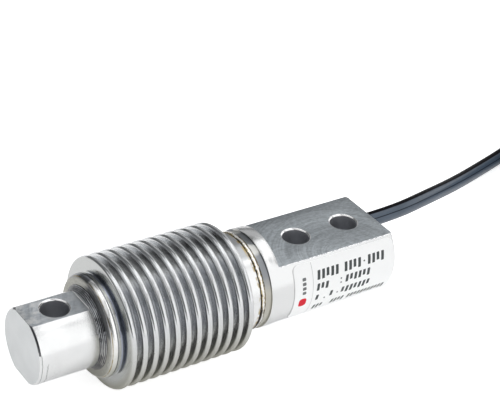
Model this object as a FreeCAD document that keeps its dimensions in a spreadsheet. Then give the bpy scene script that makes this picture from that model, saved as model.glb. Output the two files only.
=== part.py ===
"""Bellows-sealed bending beam load cell, with its cable and what it holds inside.

Millimetres. The beam lies along X: load end at -X, cable end at +X, +Z up through the flats.
The origin is the centre of the two mounting holes, on the lower mounting flat.
Inside each turned body, x runs from the load face and the turning axis is local z = 0.
"""
import FreeCAD, Part
import math
import os

import Sketcher
from FreeCAD import Placement, Rotation, Vector

doc = FreeCAD.newDocument("BendingBeamLoadCell")
sheet = doc.addObject("Spreadsheet::Sheet", "Sizes")


class Size:
    """A length or count that carries both its value and its sheet expression."""

    def __init__(self, text, value):
        self.text = text
        self.value = value

    def _join(self, sign, other, value):
        return Size(f"({self.text} {sign} {text_of(other)})", value)

    def __add__(self, other):
        return self._join("+", other, self.value + value_of(other))

    def __sub__(self, other):
        return self._join("-", other, self.value - value_of(other))

    def __mul__(self, other):
        return self._join("*", other, self.value * value_of(other))

    def __truediv__(self, other):
        return self._join("/", other, self.value / value_of(other))

    def __neg__(self):
        return self * -1


def text_of(size):
    return size.text if isinstance(size, Size) else repr(size)


def value_of(size):
    return size.value if isinstance(size, Size) else size


def size(name, value, note):
    """Write one driving dimension to the sheet and give it back as a Size."""
    size.row += 1
    sheet.set(f"A{size.row}", name)
    sheet.set(f"B{size.row}", str(value))
    sheet.set(f"C{size.row}", note)
    sheet.setAlias(f"B{size.row}", name)
    return Size(f"Sizes.{name}", value)


size.row = 0

# Beam, ends and holes
beam_length = size("beam_length", 120.0, "load face to rear face")
block_dia = size("block_dia", 31.0, "turned mounting block")
neck_step = size("neck_step", 0.05, "block's round down to the bellows' neck")
ring_depth = size("ring_depth", 4.45, "bellows' neck down to the bar under the end ring")
load_step = size("load_step", 0.3, "bar up to the turned load end")
flat_depth = size("flat_depth", 1.3, "load end's round down to its flats")
load_flat_length = size("load_flat_length", 18.45, "flats of the load end")
load_hole_setback = size("load_hole_setback", 10.0, "load face to load hole")
hole_reach = size("hole_reach", 82.0, "load hole to the first mounting hole")
mount_hole_spacing = size("mount_hole_spacing", 18.0, "between the mounting holes")
hole_dia = size("hole_dia", 8.2, "the three vertical holes")
hole_chamfer = size("hole_chamfer", 0.4, "rim of each hole")
block_start = size("block_start", 73.9, "load face to the block's front shoulder")
mount_flat_start = size("mount_flat_start", 77.8, "load face to the start of the mounting flats")
end_chamfer = size("end_chamfer", 0.5, "edges of the two end faces")

# Sensing section inside the bellows
gauge_face_depth = size("gauge_face_depth", 2.5, "bar's round down to the gauge faces")
side_depth = size("side_depth", 4.0, "bar's round down to the milled sides")
sense_start = size("sense_start", 27.0, "load face to the milled sensing section")
sense_end = size("sense_end", 65.0, "load face to the end of the sensing section")
eye_wall = size("eye_wall", 3.0, "thinnest wall above and below each cross hole")
eye_first = size("eye_first", 36.0, "load face to the front cross hole")
eye_spacing = size("eye_spacing", 20.0, "between the cross holes")
eye_slot = size("eye_slot", 4.0, "slot that joins the cross holes")

# Bellows, end ring and welds
root_step = size("root_step", 0.85, "neck down to the roots of the folds")
fold_height = size("fold_height", 5.25, "root to crest of a fold")
wall = size("wall", 0.25, "bellows wall")
folds = size("folds", 12, "number of convolutions")
pitch = size("pitch", 3.54, "between convolutions")
fold_width = size("fold_width", 2.0, "one fold, outside to outside")
crest_flat = size("crest_flat", 0.9, "level top of the rounded crest")
crest_drop = size("crest_drop", 0.5, "height of the crest's rounding")
first_crest = size("first_crest", 25.03, "load face to the first crest")
front_lip = size("front_lip", 22.25, "load face to the front neck's lip")
rear_lip = size("rear_lip", 69.72, "load face to the rear neck's lip")
seat_clearance = size("seat_clearance", 0.02, "radial clearance of the welded seats")
ring_round = size("ring_round", 2.2, "rounded shoulder of the end ring")
ring_end = size("ring_end", 24.2, "load face to the inner end of the end ring")
root_clearance = size("root_clearance", 0.35, "radial, end ring to the bellows' first root")
neck_bend = size("neck_bend", 0.5, "length of the bend from a root to a neck")
land_step = size("land_step", 0.55, "neck down to the land between it and the block")
bead_width = size("bead_width", 2.15, "rear weld bead")
bead_step = size("bead_step", 0.05, "neck down to the crown of the rear weld bead")
bead_side = size("bead_side", 0.5, "slope at each side of the rear bead")

# Cable gland and channel, beside the mounting holes
gland_inset = size("gland_inset", 6.0, "block's round in to the cable axis")
gland_bore_dia = size("gland_bore_dia", 7.0, "bore for the gland")
gland_bore_depth = size("gland_bore_depth", 10.0, "depth of the gland bore")
channel_dia = size("channel_dia", 4.0, "wire channel from the gland to the bellows")
potting_length = size("potting_length", 2.4, "resin plug at the bottom of the gland bore")
cable_dia = size("cable_dia", 5.0, "outside of the cable jacket")
cable_clearance = size("cable_clearance", 0.1, "radial, cable to gland")
shank_clearance = size("shank_clearance", 0.02, "radial, gland to its bore")
shank_length = size("shank_length", 7.0, "gland shank inside the bore")
collar_dia = size("collar_dia", 9.0, "gland collar against the rear face")
collar_thick = size("collar_thick", 1.2, "gland collar")
spigot_dia = size("spigot_dia", 6.8, "threaded spigot under the nut")
spigot_length = size("spigot_length", 2.4, "threaded spigot under the nut")
seal_depth = size("seal_depth", 1.6, "seat of the seal in the spigot")
seal_squeeze = size("seal_squeeze", 0.02, "radial, seal to its neighbours")
spigot_wall = size("spigot_wall", 0.4, "wall of the spigot round the seal")
nut_flats = size("nut_flats", 8.6, "gland nut across flats")
nut_cap = size("nut_cap", 1.2, "end wall of the gland nut")
nut_gap = size("nut_gap", 0.2, "collar to nut, and nut thread to spigot")

# Electrical pieces on the sensing section
gauge_length = size("gauge_length", 7.0, "strain gauge, along the beam")
gauge_width = size("gauge_width", 5.0, "strain gauge, across the beam")
gauge_thick = size("gauge_thick", 0.15, "strain gauge and its glue line")
pad_length = size("pad_length", 2.0, "solder terminal, along the beam")
pad_width = size("pad_width", 4.0, "solder terminal, across the beam")
pad_thick = size("pad_thick", 0.3, "solder terminal")
pad_gap = size("pad_gap", 0.6, "gauge to solder terminal")
board_length = size("board_length", 11.0, "trim board, along the beam")
board_inset = size("board_inset", 2.5, "gauge face to the trim board's edge, upright")
board_thick = size("board_thick", 0.8, "trim board")
chip_length = size("chip_length", 3.2, "trim resistor")
chip_height = size("chip_height", 1.6, "trim resistor")
chip_thick = size("chip_thick", 0.6, "trim resistor")
chip_spacing = size("chip_spacing", 4.0, "between trim resistors, upright")
lead_dia = size("lead_dia", 0.5, "gauge lead")
lead_lift = size("lead_lift", 0.5, "gauge lead's bend, clear of the trim board")
lead_landing = size("lead_landing", 1.5, "board edge to the lead's end on it")
core_dia = size("core_dia", 1.2, "insulated core of the cable")
core_spread = size("core_spread", 0.66, "core axis from the bundle axis, each way")
core_clearance = size("core_clearance", 0.05, "radial, core to potting")

# Rating label on the front side of the block
label_start = size("label_start", 81.8, "load face to the label")
label_margin = size("label_margin", 0.8, "label to the rear face")
label_thick = size("label_thick", 0.15, "label")
label_top = size("label_top", 37.0, "degrees above the side line")
label_bottom = size("label_bottom", 38.5, "degrees below the side line")
label_corner = size("label_corner", 2.0, "corner radius")

# Cable outside the gland
strap_thick = size("strap_thick", 0.6, "coil tie band")
strap_width = size("strap_width", 3.0, "coil tie band")
strap_clearance = size("strap_clearance", 0.1, "coil to coil tie")
coil_columns = size("coil_columns", 4, "turns side by side and in height")
coil_mean_radius = size("coil_mean_radius", 29.0, "middle of the turns")
coil_edge = size("coil_edge", 1.25, "bevel of the coil's outline")
lock_length = size("lock_length", 5.0, "coil tie lock, along the band")
lock_width = size("lock_width", 4.6, "coil tie lock, across the band")
lock_height = size("lock_height", 3.4, "coil tie lock, above the band")
sleeve_length = size("sleeve_length", 12.0, "shrink sleeve at the cable's end")
sleeve_wall = size("sleeve_wall", 0.5, "shrink sleeve")
sleeve_overlap = size("sleeve_overlap", 8.0, "jacket inside the shrink sleeve")
shield_dia = size("shield_dia", 0.9, "bare shield wire")
doc.recompute()

# Sizes and places that follow from the driving ones
neck_dia = block_dia - neck_step * 2
bar_dia = neck_dia - ring_depth * 2
load_end_dia = bar_dia + load_step * 2
across_flats = load_end_dia - flat_depth * 2
bar_height = bar_dia - gauge_face_depth * 2
bar_width = bar_dia - side_depth * 2
eye_dia = bar_height - eye_wall * 2
root_dia = neck_dia - root_step * 2
bellows_dia = root_dia + fold_height * 2
weld_land_dia = neck_dia - land_step * 2
bead_dia = neck_dia - bead_step * 2
gland_offset = block_dia / 2 - gland_inset
board_height = bar_height - board_inset * 2
load_face = -(load_hole_setback + hole_reach + mount_hole_spacing / 2)
rear_face = load_face + beam_length
axis_height = across_flats / 2
bar_top = bar_height / 2
floor_height = axis_height - bellows_dia / 2
front_root = first_crest - pitch / 2
rear_root = first_crest + pitch * (folds - 0.5)
neck_inside = neck_dia / 2 - wall - seat_clearance
gland_bottom = rear_face - gland_bore_depth
gland_mouth = rear_face + collar_thick + spigot_length + nut_gap + nut_cap
board_centre = eye_first + eye_spacing / 2


def bind(obj, **links):
    """Bind properties to sheet expressions; a dot in a name is written as two underscores."""
    for name, link in links.items():
        prop = name.replace("__", ".")
        if isinstance(link, Size):
            obj.setExpression(prop, link.text)
        else:
            setattr(obj, prop, link)


def place(obj, x=0.0, y=0.0, z=0.0):
    """Place an object by sizes or plain numbers."""
    for axis, where in (("x", x), ("y", y), ("z", z)):
        if isinstance(where, Size):
            obj.setExpression(f"Placement.Base.{axis}", where.text)
    obj.Placement.Base = Vector(value_of(x), value_of(y), value_of(z))


def make_body(label, on_axis=True):
    """A PartDesign body whose local x axis is the turning axis, or any other body."""
    body = doc.addObject("PartDesign::Body", label)
    body.Label = label
    if on_axis:
        place(body, load_face, 0.0, axis_height)
    return body


def make_sketch(body, name, role, offset=None):
    """A sketch on one of the body's own origin planes."""
    sketch = body.newObject("Sketcher::SketchObject", name)
    plane = next(f for f in body.Origin.OriginFeatures if f.Role == role)
    sketch.AttachmentSupport = [(plane, "")]
    sketch.MapMode = "FlatFace"
    if offset is not None:
        bind(sketch, AttachmentOffset__Base__z=offset)
        sketch.AttachmentOffset.Base.z = value_of(offset)
    return sketch


def pin_point(sketch, geometry, position, x, y):
    """Fix one point of a sketch to sheet values."""
    for kind, where, axis in (("DistanceX", x, -2), ("DistanceY", y, -1)):
        if value_of(where) == 0:
            sketch.addConstraint(Sketcher.Constraint("PointOnObject", geometry, position, axis))
            continue
        index = sketch.addConstraint(
            Sketcher.Constraint(kind, -1, 1, geometry, position, float(value_of(where))))
        if isinstance(where, Size):
            sketch.setExpression(f"Constraints[{index}]", where.text)


def outline(sketch, points):
    """Closed outline. A point is (x, y), or (x, y, radius, side) for an arc that ends there.

    The arc is a quarter turn; side is +1 where its centre lies to the left of the path.
    """
    first = sketch.GeometryCount
    count = len(points)
    flat = [Vector(value_of(p[0]), value_of(p[1]), 0) for p in points]
    for i in range(count):
        start, end, target = flat[i], flat[(i + 1) % count], points[(i + 1) % count]
        if len(target) == 2:
            sketch.addGeometry(Part.LineSegment(start, end))
            continue
        radius, side = value_of(target[2]), target[3]
        chord = end - start
        normal = Vector(-chord.y, chord.x, 0).normalize() * side
        centre = (start + end) * 0.5 + normal * math.sqrt(radius ** 2 - chord.Length ** 2 / 4)
        sketch.addGeometry(Part.Arc(start, centre - normal * radius, end))
    for i in range(count):
        here, after = first + i, first + (i + 1) % count
        starts = 1 if starts_at(sketch, here, flat[i]) else 2
        ends = 3 - starts
        after_start = 1 if starts_at(sketch, after, flat[(i + 1) % count]) else 2
        sketch.addConstraint(Sketcher.Constraint("Coincident", here, ends, after, after_start))
        pin_point(sketch, here, starts, points[i][0], points[i][1])
        target = points[(i + 1) % count]
        if len(target) < 3:
            continue
        index = sketch.addConstraint(
            Sketcher.Constraint("Radius", here, float(value_of(target[2]))))
        if isinstance(target[2], Size):
            sketch.setExpression(f"Constraints[{index}]", target[2].text)


def starts_at(sketch, geometry, point):
    """True where the geometry's own start lies at the point; arcs may run the other way."""
    return (sketch.getPoint(geometry, 1) - point).Length < 1e-6


def rectangle(sketch, x0, y0, x1, y1):
    outline(sketch, [(x0, y0), (x1, y0), (x1, y1), (x0, y1)])


def circle(sketch, x, y, radius):
    index = sketch.addGeometry(
        Part.Circle(Vector(value_of(x), value_of(y), 0), Vector(0, 0, 1), value_of(radius)))
    pin_point(sketch, index, 3, x, y)
    constraint = sketch.addConstraint(Sketcher.Constraint("Radius", index, float(value_of(radius))))
    if isinstance(radius, Size):
        sketch.setExpression(f"Constraints[{constraint}]", radius.text)


def revolve(body, name, points):
    """Turn an outline of (x, radius) points about the body's x axis."""
    sketch = make_sketch(body, name + "Profile", "XZ_Plane")
    outline(sketch, points)
    turned = body.newObject("PartDesign::Revolution", name)
    turned.Profile = sketch
    turned.ReferenceAxis = (sketch, ["H_Axis"])
    turned.Angle = 360
    return turned


def cut_through(body, name, sketch):
    """Cut a sketch right through the body, both ways."""
    pocket = body.newObject("PartDesign::Pocket", name)
    pocket.Profile = sketch
    pocket.SideType = "Symmetric"
    pocket.Type = "ThroughAll"
    return pocket


def cut_forward(body, name, sketch, depth):
    """Cut a sketch on a YZ plane towards +X by a depth."""
    pocket = body.newObject("PartDesign::Pocket", name)
    pocket.Profile = sketch
    pocket.Type = "Length"
    pocket.Reversed = True
    bind(pocket, Length=depth)
    return pocket


def volume_after(feature, before):
    """Recompute and make sure that a cut really removed something."""
    doc.recompute()
    left = feature.Shape.Volume
    assert left < before - 1e-3, f"{feature.Name} cuts nothing"
    return left


def make_beam():
    """Spring element: load end, sensing section, weld seats, mounting block and cable bore."""
    body = make_body("beam_body")
    load_r, bar_r = load_end_dia / 2, bar_dia / 2
    spigot = rear_root + neck_bend + wall
    land_r, block_r = weld_land_dia / 2, block_dia / 2
    turned = revolve(body, "Turned", [
        (0, 0), (0, load_r - end_chamfer), (end_chamfer, load_r), (load_flat_length, load_r),
        (load_flat_length, bar_r), (spigot, bar_r), (spigot, neck_inside), (rear_lip, neck_inside),
        (rear_lip, land_r), (block_start, land_r), (block_start, block_r),
        (beam_length - end_chamfer, block_r), (beam_length, block_r - end_chamfer), (beam_length, 0)])
    doc.recompute()
    left = turned.Shape.Volume

    flats = make_sketch(body, "Flats", "XZ_Plane")
    for side in (1, -1):
        near, far = axis_height * side, block_dia * side
        rectangle(flats, -end_chamfer, near, load_flat_length, far)
        rectangle(flats, mount_flat_start, near, beam_length + end_chamfer, far)
        rectangle(flats, sense_start, bar_top * side, sense_end, far)
    left = volume_after(cut_through(body, "FlatsCut", flats), left)

    sides = make_sketch(body, "Sides", "XY_Plane")
    for side in (1, -1):
        rectangle(sides, sense_start, bar_width / 2 * side, sense_end, bar_dia * side)
    left = volume_after(cut_through(body, "SidesCut", sides), left)

    eyes = make_sketch(body, "Eyes", "XZ_Plane")
    circle(eyes, eye_first, 0, eye_dia / 2)
    circle(eyes, eye_first + eye_spacing, 0, eye_dia / 2)
    left = volume_after(cut_through(body, "EyesCut", eyes), left)
    slot = make_sketch(body, "EyeSlot", "XZ_Plane")
    rectangle(slot, eye_first, -eye_slot / 2, eye_first + eye_spacing, eye_slot / 2)
    left = volume_after(cut_through(body, "EyeSlotCut", slot), left)

    holes = make_sketch(body, "Holes", "XY_Plane")
    first_mount = load_hole_setback + hole_reach
    for x in (load_hole_setback, first_mount, first_mount + mount_hole_spacing):
        circle(holes, x, 0, hole_dia / 2)
    drilled = cut_through(body, "HolesCut", holes)
    left = volume_after(drilled, left)

    bore = make_sketch(body, "GlandBore", "YZ_Plane", beam_length - gland_bore_depth)
    circle(bore, gland_offset, 0, gland_bore_dia / 2)
    bored = cut_forward(body, "GlandBoreCut", bore, gland_bore_depth + end_chamfer)
    left = volume_after(bored, left)
    channel = make_sketch(body, "Channel", "YZ_Plane", sense_end)
    circle(channel, gland_offset, 0, channel_dia / 2)
    channelled = cut_forward(body, "ChannelCut", channel, beam_length - sense_end)
    left = volume_after(channelled, left)

    rims = [f"Edge{n}" for n, edge in enumerate(channelled.Shape.Edges, 1)
            if isinstance(edge.Curve, Part.Circle)
            and abs(edge.Curve.Radius - hole_dia.value / 2) < 1e-6
            and abs(abs(edge.Curve.Axis.z) - 1) < 1e-6]
    chamfer = body.newObject("PartDesign::Chamfer", "HoleRims")
    chamfer.Base = (channelled, rims)
    bind(chamfer, Size=hole_chamfer)
    volume_after(chamfer, left)
    body.Tip = chamfer
    return body


def make_end_ring():
    """Turned ring that closes the bellows at the load end."""
    body = make_body("end_ring")
    neck_r = neck_dia / 2
    bore_r = bar_dia / 2 + seat_clearance
    face = front_lip - ring_round
    seat_end = front_root - neck_bend - wall
    inner_r = root_dia / 2 - wall - root_clearance
    body.Tip = revolve(body, "Ring", [
        (face, bore_r), (face, neck_r - ring_round), (front_lip, neck_r, ring_round, -1),
        (front_lip, neck_inside), (seat_end, neck_inside), (seat_end, inner_r),
        (ring_end, inner_r), (ring_end, bore_r)])
    return body


def make_bellows():
    """Thin-walled metal bellows: one fold repeated, and a plain neck at each end."""
    body = make_body("bellows")
    crest_r, root_r = bellows_dia / 2, root_dia / 2
    side, flat = fold_width / 2, crest_flat / 2
    shoulder = crest_r - crest_drop
    # Along a slanted corner the inner line is shifted by the wall times this share.
    inset = wall * 0.45
    left, right = front_root, first_crest + pitch / 2
    fold = revolve(body, "Fold", [
        (left, root_r), (first_crest - side, root_r), (first_crest - side, shoulder),
        (first_crest - flat, crest_r), (first_crest + flat, crest_r),
        (first_crest + side, shoulder), (first_crest + side, root_r), (right, root_r),
        (right, root_r - wall), (first_crest + side - wall, root_r - wall),
        (first_crest + side - wall, shoulder - inset), (first_crest + flat - inset, crest_r - wall),
        (first_crest - flat + inset, crest_r - wall), (first_crest - side + wall, shoulder - inset),
        (first_crest - side + wall, root_r - wall), (left, root_r - wall)])
    pattern = body.newObject("PartDesign::LinearPattern", "Folds")
    pattern.Originals = [fold]
    pattern.Direction = (fold.Profile[0], ["H_Axis"])
    bind(pattern, Length=pitch * (folds - 1), Occurrences=folds)
    body.Tip = pattern
    doc.recompute()

    neck_r = neck_dia / 2
    for name, root, lip, way in (("FrontNeck", front_root, front_lip, -1),
                                 ("RearNeck", rear_root, rear_lip, 1)):
        seat = root + neck_bend * way
        body.Tip = revolve(body, name, [
            (root, root_r), (seat, neck_r), (lip, neck_r), (lip, neck_r - wall),
            (seat + inset * way, neck_r - wall), (root + inset * way, root_r - wall),
            (root, root_r - wall)])
        doc.recompute()
    return body


def make_front_weld():
    """Ripple-faced fillet between the load end and the end ring."""
    body = make_body("front_weld")
    bar_r = bar_dia / 2 + seat_clearance
    start = load_flat_length + seat_clearance
    face = front_lip - ring_round
    low = load_end_dia / 2
    reach, ripple = face - start, (neck_dia / 2 - ring_round - low) / 6
    body.Tip = revolve(body, "Fillet", [
        (start, bar_r), (start, low), (start + reach * 0.25, low + ripple), (start + reach * 0.35, low),
        (start + reach * 0.6, low + ripple * 2), (start + reach * 0.7, low + ripple),
        (face, low + ripple * 4), (face, bar_r)])
    return body


def make_rear_weld():
    """Bead that joins the rear neck of the bellows to the block."""
    body = make_body("rear_weld")
    land_r, neck_r, crown = weld_land_dia / 2, neck_dia / 2, bead_dia / 2
    body.Tip = revolve(body, "Bead", [
        (rear_lip, land_r), (rear_lip, neck_r), (rear_lip + bead_side, crown),
        (rear_lip + bead_width - bead_side, crown), (rear_lip + bead_width, land_r)])
    return body


def make_box(label, length, width, height, x, y, z):
    box = doc.addObject("Part::Box", label)
    box.Label = label
    bind(box, Length=length, Width=width, Height=height)
    place(box, x, y, z)
    return box


def make_gauges():
    """Four strain gauges over the cross holes, two on the upper face and two on the lower."""
    gauges = []
    for level, side in (("top", 1), ("bottom", -1)):
        lower = axis_height + bar_top if side > 0 else axis_height - bar_top - gauge_thick
        for end, centre in (("front", eye_first), ("rear", eye_first + eye_spacing)):
            gauges.append(make_box(
                f"strain_gauge_{level}_{end}", gauge_length, gauge_width, gauge_thick,
                load_face + centre - gauge_length / 2, -gauge_width / 2, lower))
    return gauges


def make_terminals():
    """Four solder terminals, one beside each gauge, as one group."""
    strips = []
    for side in (1, -1):
        lower = axis_height + bar_top if side > 0 else axis_height - bar_top - pad_thick
        for name, start in (("Front", eye_first + gauge_length / 2 + pad_gap),
                            ("Rear", eye_first + eye_spacing - gauge_length / 2 - pad_gap - pad_length)):
            strips.append(make_box(f"Terminal{name}{side + 1}", pad_length, pad_width, pad_thick,
                                   load_face + start, -pad_width / 2, lower))
    group = doc.addObject("Part::Compound", "solder_terminals")
    group.Links = strips
    group.Label = "solder_terminals"
    return group


def make_board():
    """Trim board on the side of the sensing section, and its two resistors."""
    board = make_box("trim_board", board_length, board_thick, board_height,
                     load_face + board_centre - board_length / 2, bar_width / 2,
                     axis_height - board_height / 2)
    chips = [make_box(f"Chip{n}", chip_length, chip_thick, chip_height,
                      load_face + board_centre - chip_length / 2, bar_width / 2 + board_thick,
                      axis_height + chip_spacing * (n - 0.5) - chip_height / 2) for n in (0, 1)]
    group = doc.addObject("Part::Compound", "trim_resistors")
    group.Links = chips
    group.Label = "trim_resistors"
    return [board, group]


def turned_on_cable(label, points):
    """A body turned about the cable's axis; x is the row's own x."""
    body = make_body(label, on_axis=False)
    place(body, 0.0, gland_offset, axis_height)
    body.Tip = revolve(body, label.title().replace("_", ""), points)
    return body


def make_gland():
    """Cable gland: shank and spigot, rubber seal, hexagon nut, and the jacket they clamp."""
    bore_r = cable_dia / 2 + cable_clearance
    shank_r = gland_bore_dia / 2 - shank_clearance
    spigot_r = spigot_dia / 2
    seal_r = spigot_r - spigot_wall
    collar_end = rear_face + collar_thick
    spigot_end = collar_end + spigot_length
    gland = turned_on_cable("gland_body", [
        (rear_face - shank_length, bore_r), (rear_face - shank_length, shank_r), (rear_face, shank_r),
        (rear_face, collar_dia / 2), (collar_end, collar_dia / 2), (collar_end, spigot_r),
        (spigot_end, spigot_r), (spigot_end, seal_r), (spigot_end - seal_depth, seal_r),
        (spigot_end - seal_depth, bore_r)])
    seal = turned_on_cable("gland_seal", [
        (spigot_end - seal_depth, cable_dia / 2 + seal_squeeze),
        (spigot_end - seal_depth, seal_r - seal_squeeze), (spigot_end, seal_r - seal_squeeze),
        (spigot_end, cable_dia / 2 + seal_squeeze)])

    nut = make_body("gland_nut", on_axis=False)
    place(nut, 0.0, gland_offset, axis_height)
    face = make_sketch(nut, "NutFace", "YZ_Plane", collar_end + nut_gap)
    across = nut_flats / math.sqrt(3)
    outline(face, [(across, 0), (across / 2, nut_flats / 2), (-across / 2, nut_flats / 2),
                   (-across, 0), (-across / 2, -nut_flats / 2), (across / 2, -nut_flats / 2)])
    block = nut.newObject("PartDesign::Pad", "NutBlock")
    block.Profile = face
    bind(block, Length=gland_mouth - collar_end - nut_gap)
    doc.recompute()
    left = block.Shape.Volume
    thread = make_sketch(nut, "NutThread", "YZ_Plane", collar_end + nut_gap)
    circle(thread, 0, 0, spigot_r + nut_gap / 10)
    left = volume_after(cut_forward(nut, "NutThreadCut", thread, spigot_end - collar_end - nut_gap), left)
    mouth = make_sketch(nut, "NutMouth", "YZ_Plane", collar_end + nut_gap)
    circle(mouth, 0, 0, bore_r)
    mouth_cut = cut_forward(nut, "NutMouthCut", mouth, gland_mouth - collar_end)
    volume_after(mouth_cut, left)
    nut.Tip = mouth_cut

    entry = doc.addObject("Part::Cylinder", "cable_entry")
    entry.Label = "cable_entry"
    entry.Placement.Rotation = Rotation(Vector(0, 1, 0), 90)
    bind(entry, Radius=cable_dia / 2, Height=gland_mouth - gland_bottom - potting_length)
    place(entry, gland_bottom + potting_length, gland_offset, axis_height)
    return [gland, seal, nut, entry]


def make_potting():
    """Resin plug at the bottom of the gland bore, with the four cores through it."""
    body = make_body("potting_plug", on_axis=False)
    place(body, 0.0, gland_offset, axis_height)
    face = make_sketch(body, "PlugFace", "YZ_Plane", gland_bottom)
    circle(face, 0, 0, gland_bore_dia / 2 - shank_clearance)
    for side in (1, -1):
        for level in (1, -1):
            circle(face, core_spread * side, core_spread * level, core_dia / 2 + core_clearance)
    plug = body.newObject("PartDesign::Pad", "Plug")
    plug.Profile = face
    bind(plug, Length=potting_length)
    body.Tip = plug
    return body


def make_label():
    """Thin rating label, wrapped round the front side of the block."""
    body = make_body("rating_label")
    inner = block_dia / 2
    sketch = make_sketch(body, "LabelProfile", "XZ_Plane")
    end = beam_length - label_margin
    rectangle(sketch, label_start, inner, end, inner + label_thick)
    wrap = body.newObject("PartDesign::Revolution", "LabelWrap")
    wrap.Profile = sketch
    wrap.ReferenceAxis = (sketch, ["H_Axis"])
    # The wrap starts at the upright half-plane and turns down the front side.
    bind(wrap, Angle=label_top + label_bottom)
    body.Placement.Rotation = Rotation(Vector(1, 0, 0), 90.0 - label_top.value)
    body.setExpression("Placement.Rotation.Angle", f"90 - {label_top.text}")
    doc.recompute()
    corners = [f"Edge{n}" for n, edge in enumerate(wrap.Shape.Edges, 1)
               if isinstance(edge.Curve, Part.Line) and abs(edge.Length - label_thick.value) < 1e-6]
    rounded = body.newObject("PartDesign::Fillet", "LabelCorners")
    rounded.Base = (wrap, corners)
    bind(rounded, Radius=label_corner)
    body.Tip = rounded
    return body


def tube(points, radius, name):
    """Round tube along straight runs joined by tangent arcs; prints its bend radii."""
    edges, start, radii = [], points[0], []
    for before, corner, after in zip(points, points[1:], points[2:]):
        back, ahead = before - corner, after - corner
        half_turn = (math.pi - back.getAngle(ahead)) / 2
        cut = 0.45 * min(back.Length, ahead.Length)
        bend = cut / math.tan(half_turn)
        into = corner + back.normalize() * cut
        out = corner + ahead.normalize() * cut
        inward = (back + ahead).normalize()
        middle = corner + inward * (bend / math.cos(half_turn) - bend)
        edges.append(Part.LineSegment(start, into).toShape())
        edges.append(Part.Arc(into, middle, out).toShape())
        radii.append(bend)
        start = out
    edges.append(Part.LineSegment(start, points[-1]).toShape())
    path = Part.Wire(edges)
    ring = Part.Wire(Part.Circle(points[0], points[1] - points[0], radius).toShape())
    swept = path.makePipeShell([ring], True, True)
    expected = math.pi * radius ** 2 * path.Length
    print(f"{name}: length {path.Length:.1f}, radii", [round(r, 1) for r in radii],
          f"volume {swept.Volume:.1f} of {expected:.1f}")
    return swept, path.Length


def add_shape(label, shape):
    feature = doc.addObject("Part::Feature", label)
    feature.Label = label
    feature.Shape = shape
    return feature


def make_inner_wires():
    """Gauge leads round the sensing section, and the four cores through the channel."""
    axis = Vector(load_face.value, 0, axis_height.value)
    side_y = bar_width.value / 2
    board_face = side_y + board_thick.value
    lead_r, core_r = lead_dia.value / 2, core_dia.value / 2
    leads = []
    for side in (1, -1):
        level = side * (bar_top.value + pad_thick.value + lead_r)
        for x in (eye_first.value + gauge_length.value / 2 + pad_gap.value + pad_length.value / 2,
                  eye_first.value + eye_spacing.value - gauge_length.value / 2
                  - pad_gap.value - pad_length.value / 2):
            leads.append(tube([axis + Vector(x, pad_width.value / 2 - lead_dia.value, level),
                               axis + Vector(x, board_face + 2 * lead_r + lead_lift.value, level),
                               axis + Vector(x, board_face + lead_r,
                                             side * (board_height.value / 2 - lead_landing.value))],
                              lead_r, "gauge lead")[0])
    wires = [add_shape("gauge_leads", Part.makeCompound(leads))]

    inner_end = gland_bottom.value + potting_length.value
    middle_y = gland_offset.value
    cores = []
    for side in (1, -1):
        for level in (1, -1):
            y = middle_y + core_spread.value * side
            z = core_spread.value * level
            start = Vector(inner_end, y, axis_height.value + z)
            leave = axis + Vector(board_centre.value + board_length.value / 2 + 5.0, y, z)
            land = axis + Vector(board_centre.value + board_length.value / 2 - 1.0
                                 - (1 + side) * 0.7, board_face + core_r + 0.05, z * 2.6)
            cores.append(tube([start, leave, land], core_r, "inner core")[0])
    wires.append(add_shape("inner_cores", Part.makeCompound(cores)))
    return wires


# Cable route, chosen by hand: out of the gland, down to the surface, then to the coil
COIL_CENTRE = Vector(156.0, 20.0, 0.0)
LIFT = strap_thick.value + strap_clearance.value
RADIUS = cable_dia.value / 2
SURFACE = floor_height.value + RADIUS
ROUTE = [
    Vector(gland_mouth.value, gland_offset.value, axis_height.value),
    Vector(38.0, gland_offset.value, 10.0),
    Vector(58.0, 16.8, 6.3),
    Vector(80.0, 27.3, -0.2),
    Vector(104.0, 38.9, -5.9),
    Vector(124.0, 46.0, SURFACE),
    Vector(142.5, 53.9, SURFACE + LIFT),
]
TAIL_ANGLE = 62.0
TAIL_STEP = 24.0
# Radius from the coil's centre and height of each tail point, from the top turn downwards.
TAIL = ((36.5, 8.35), (41.3, 7.4), (44.0, 2.8), (44.3, -2.0), (43.8, SURFACE + sleeve_wall.value))
TAIL_LAST_RUN = 15.0
TAIL_LAST_SWAY = 3.0
TIE_ANGLES = (200.0, 8.0)


# Each core at the bare end: name, place in the cable aside and above, sway, length.
CORE_STRAIGHT = 3.5
CORE_OUT = core_spread.value + 0.15
CORES = (("core_red", -CORE_OUT, CORE_OUT, -3.2, 27.0), ("core_black", -CORE_OUT, -CORE_OUT, -1.3, 30.0),
         ("core_green", CORE_OUT, -CORE_OUT, 1.3, 28.0), ("core_white", CORE_OUT, CORE_OUT, 3.2, 31.0),
         ("shield_wire", 0.0, 1.6, 0.0, 25.0))


def coil_point(radius, angle, height):
    """A point round the coil's centre, by its angle in degrees, seen from above."""
    turn = math.radians(angle)
    return COIL_CENTRE + Vector(radius * math.cos(turn), radius * math.sin(turn), height)


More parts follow.
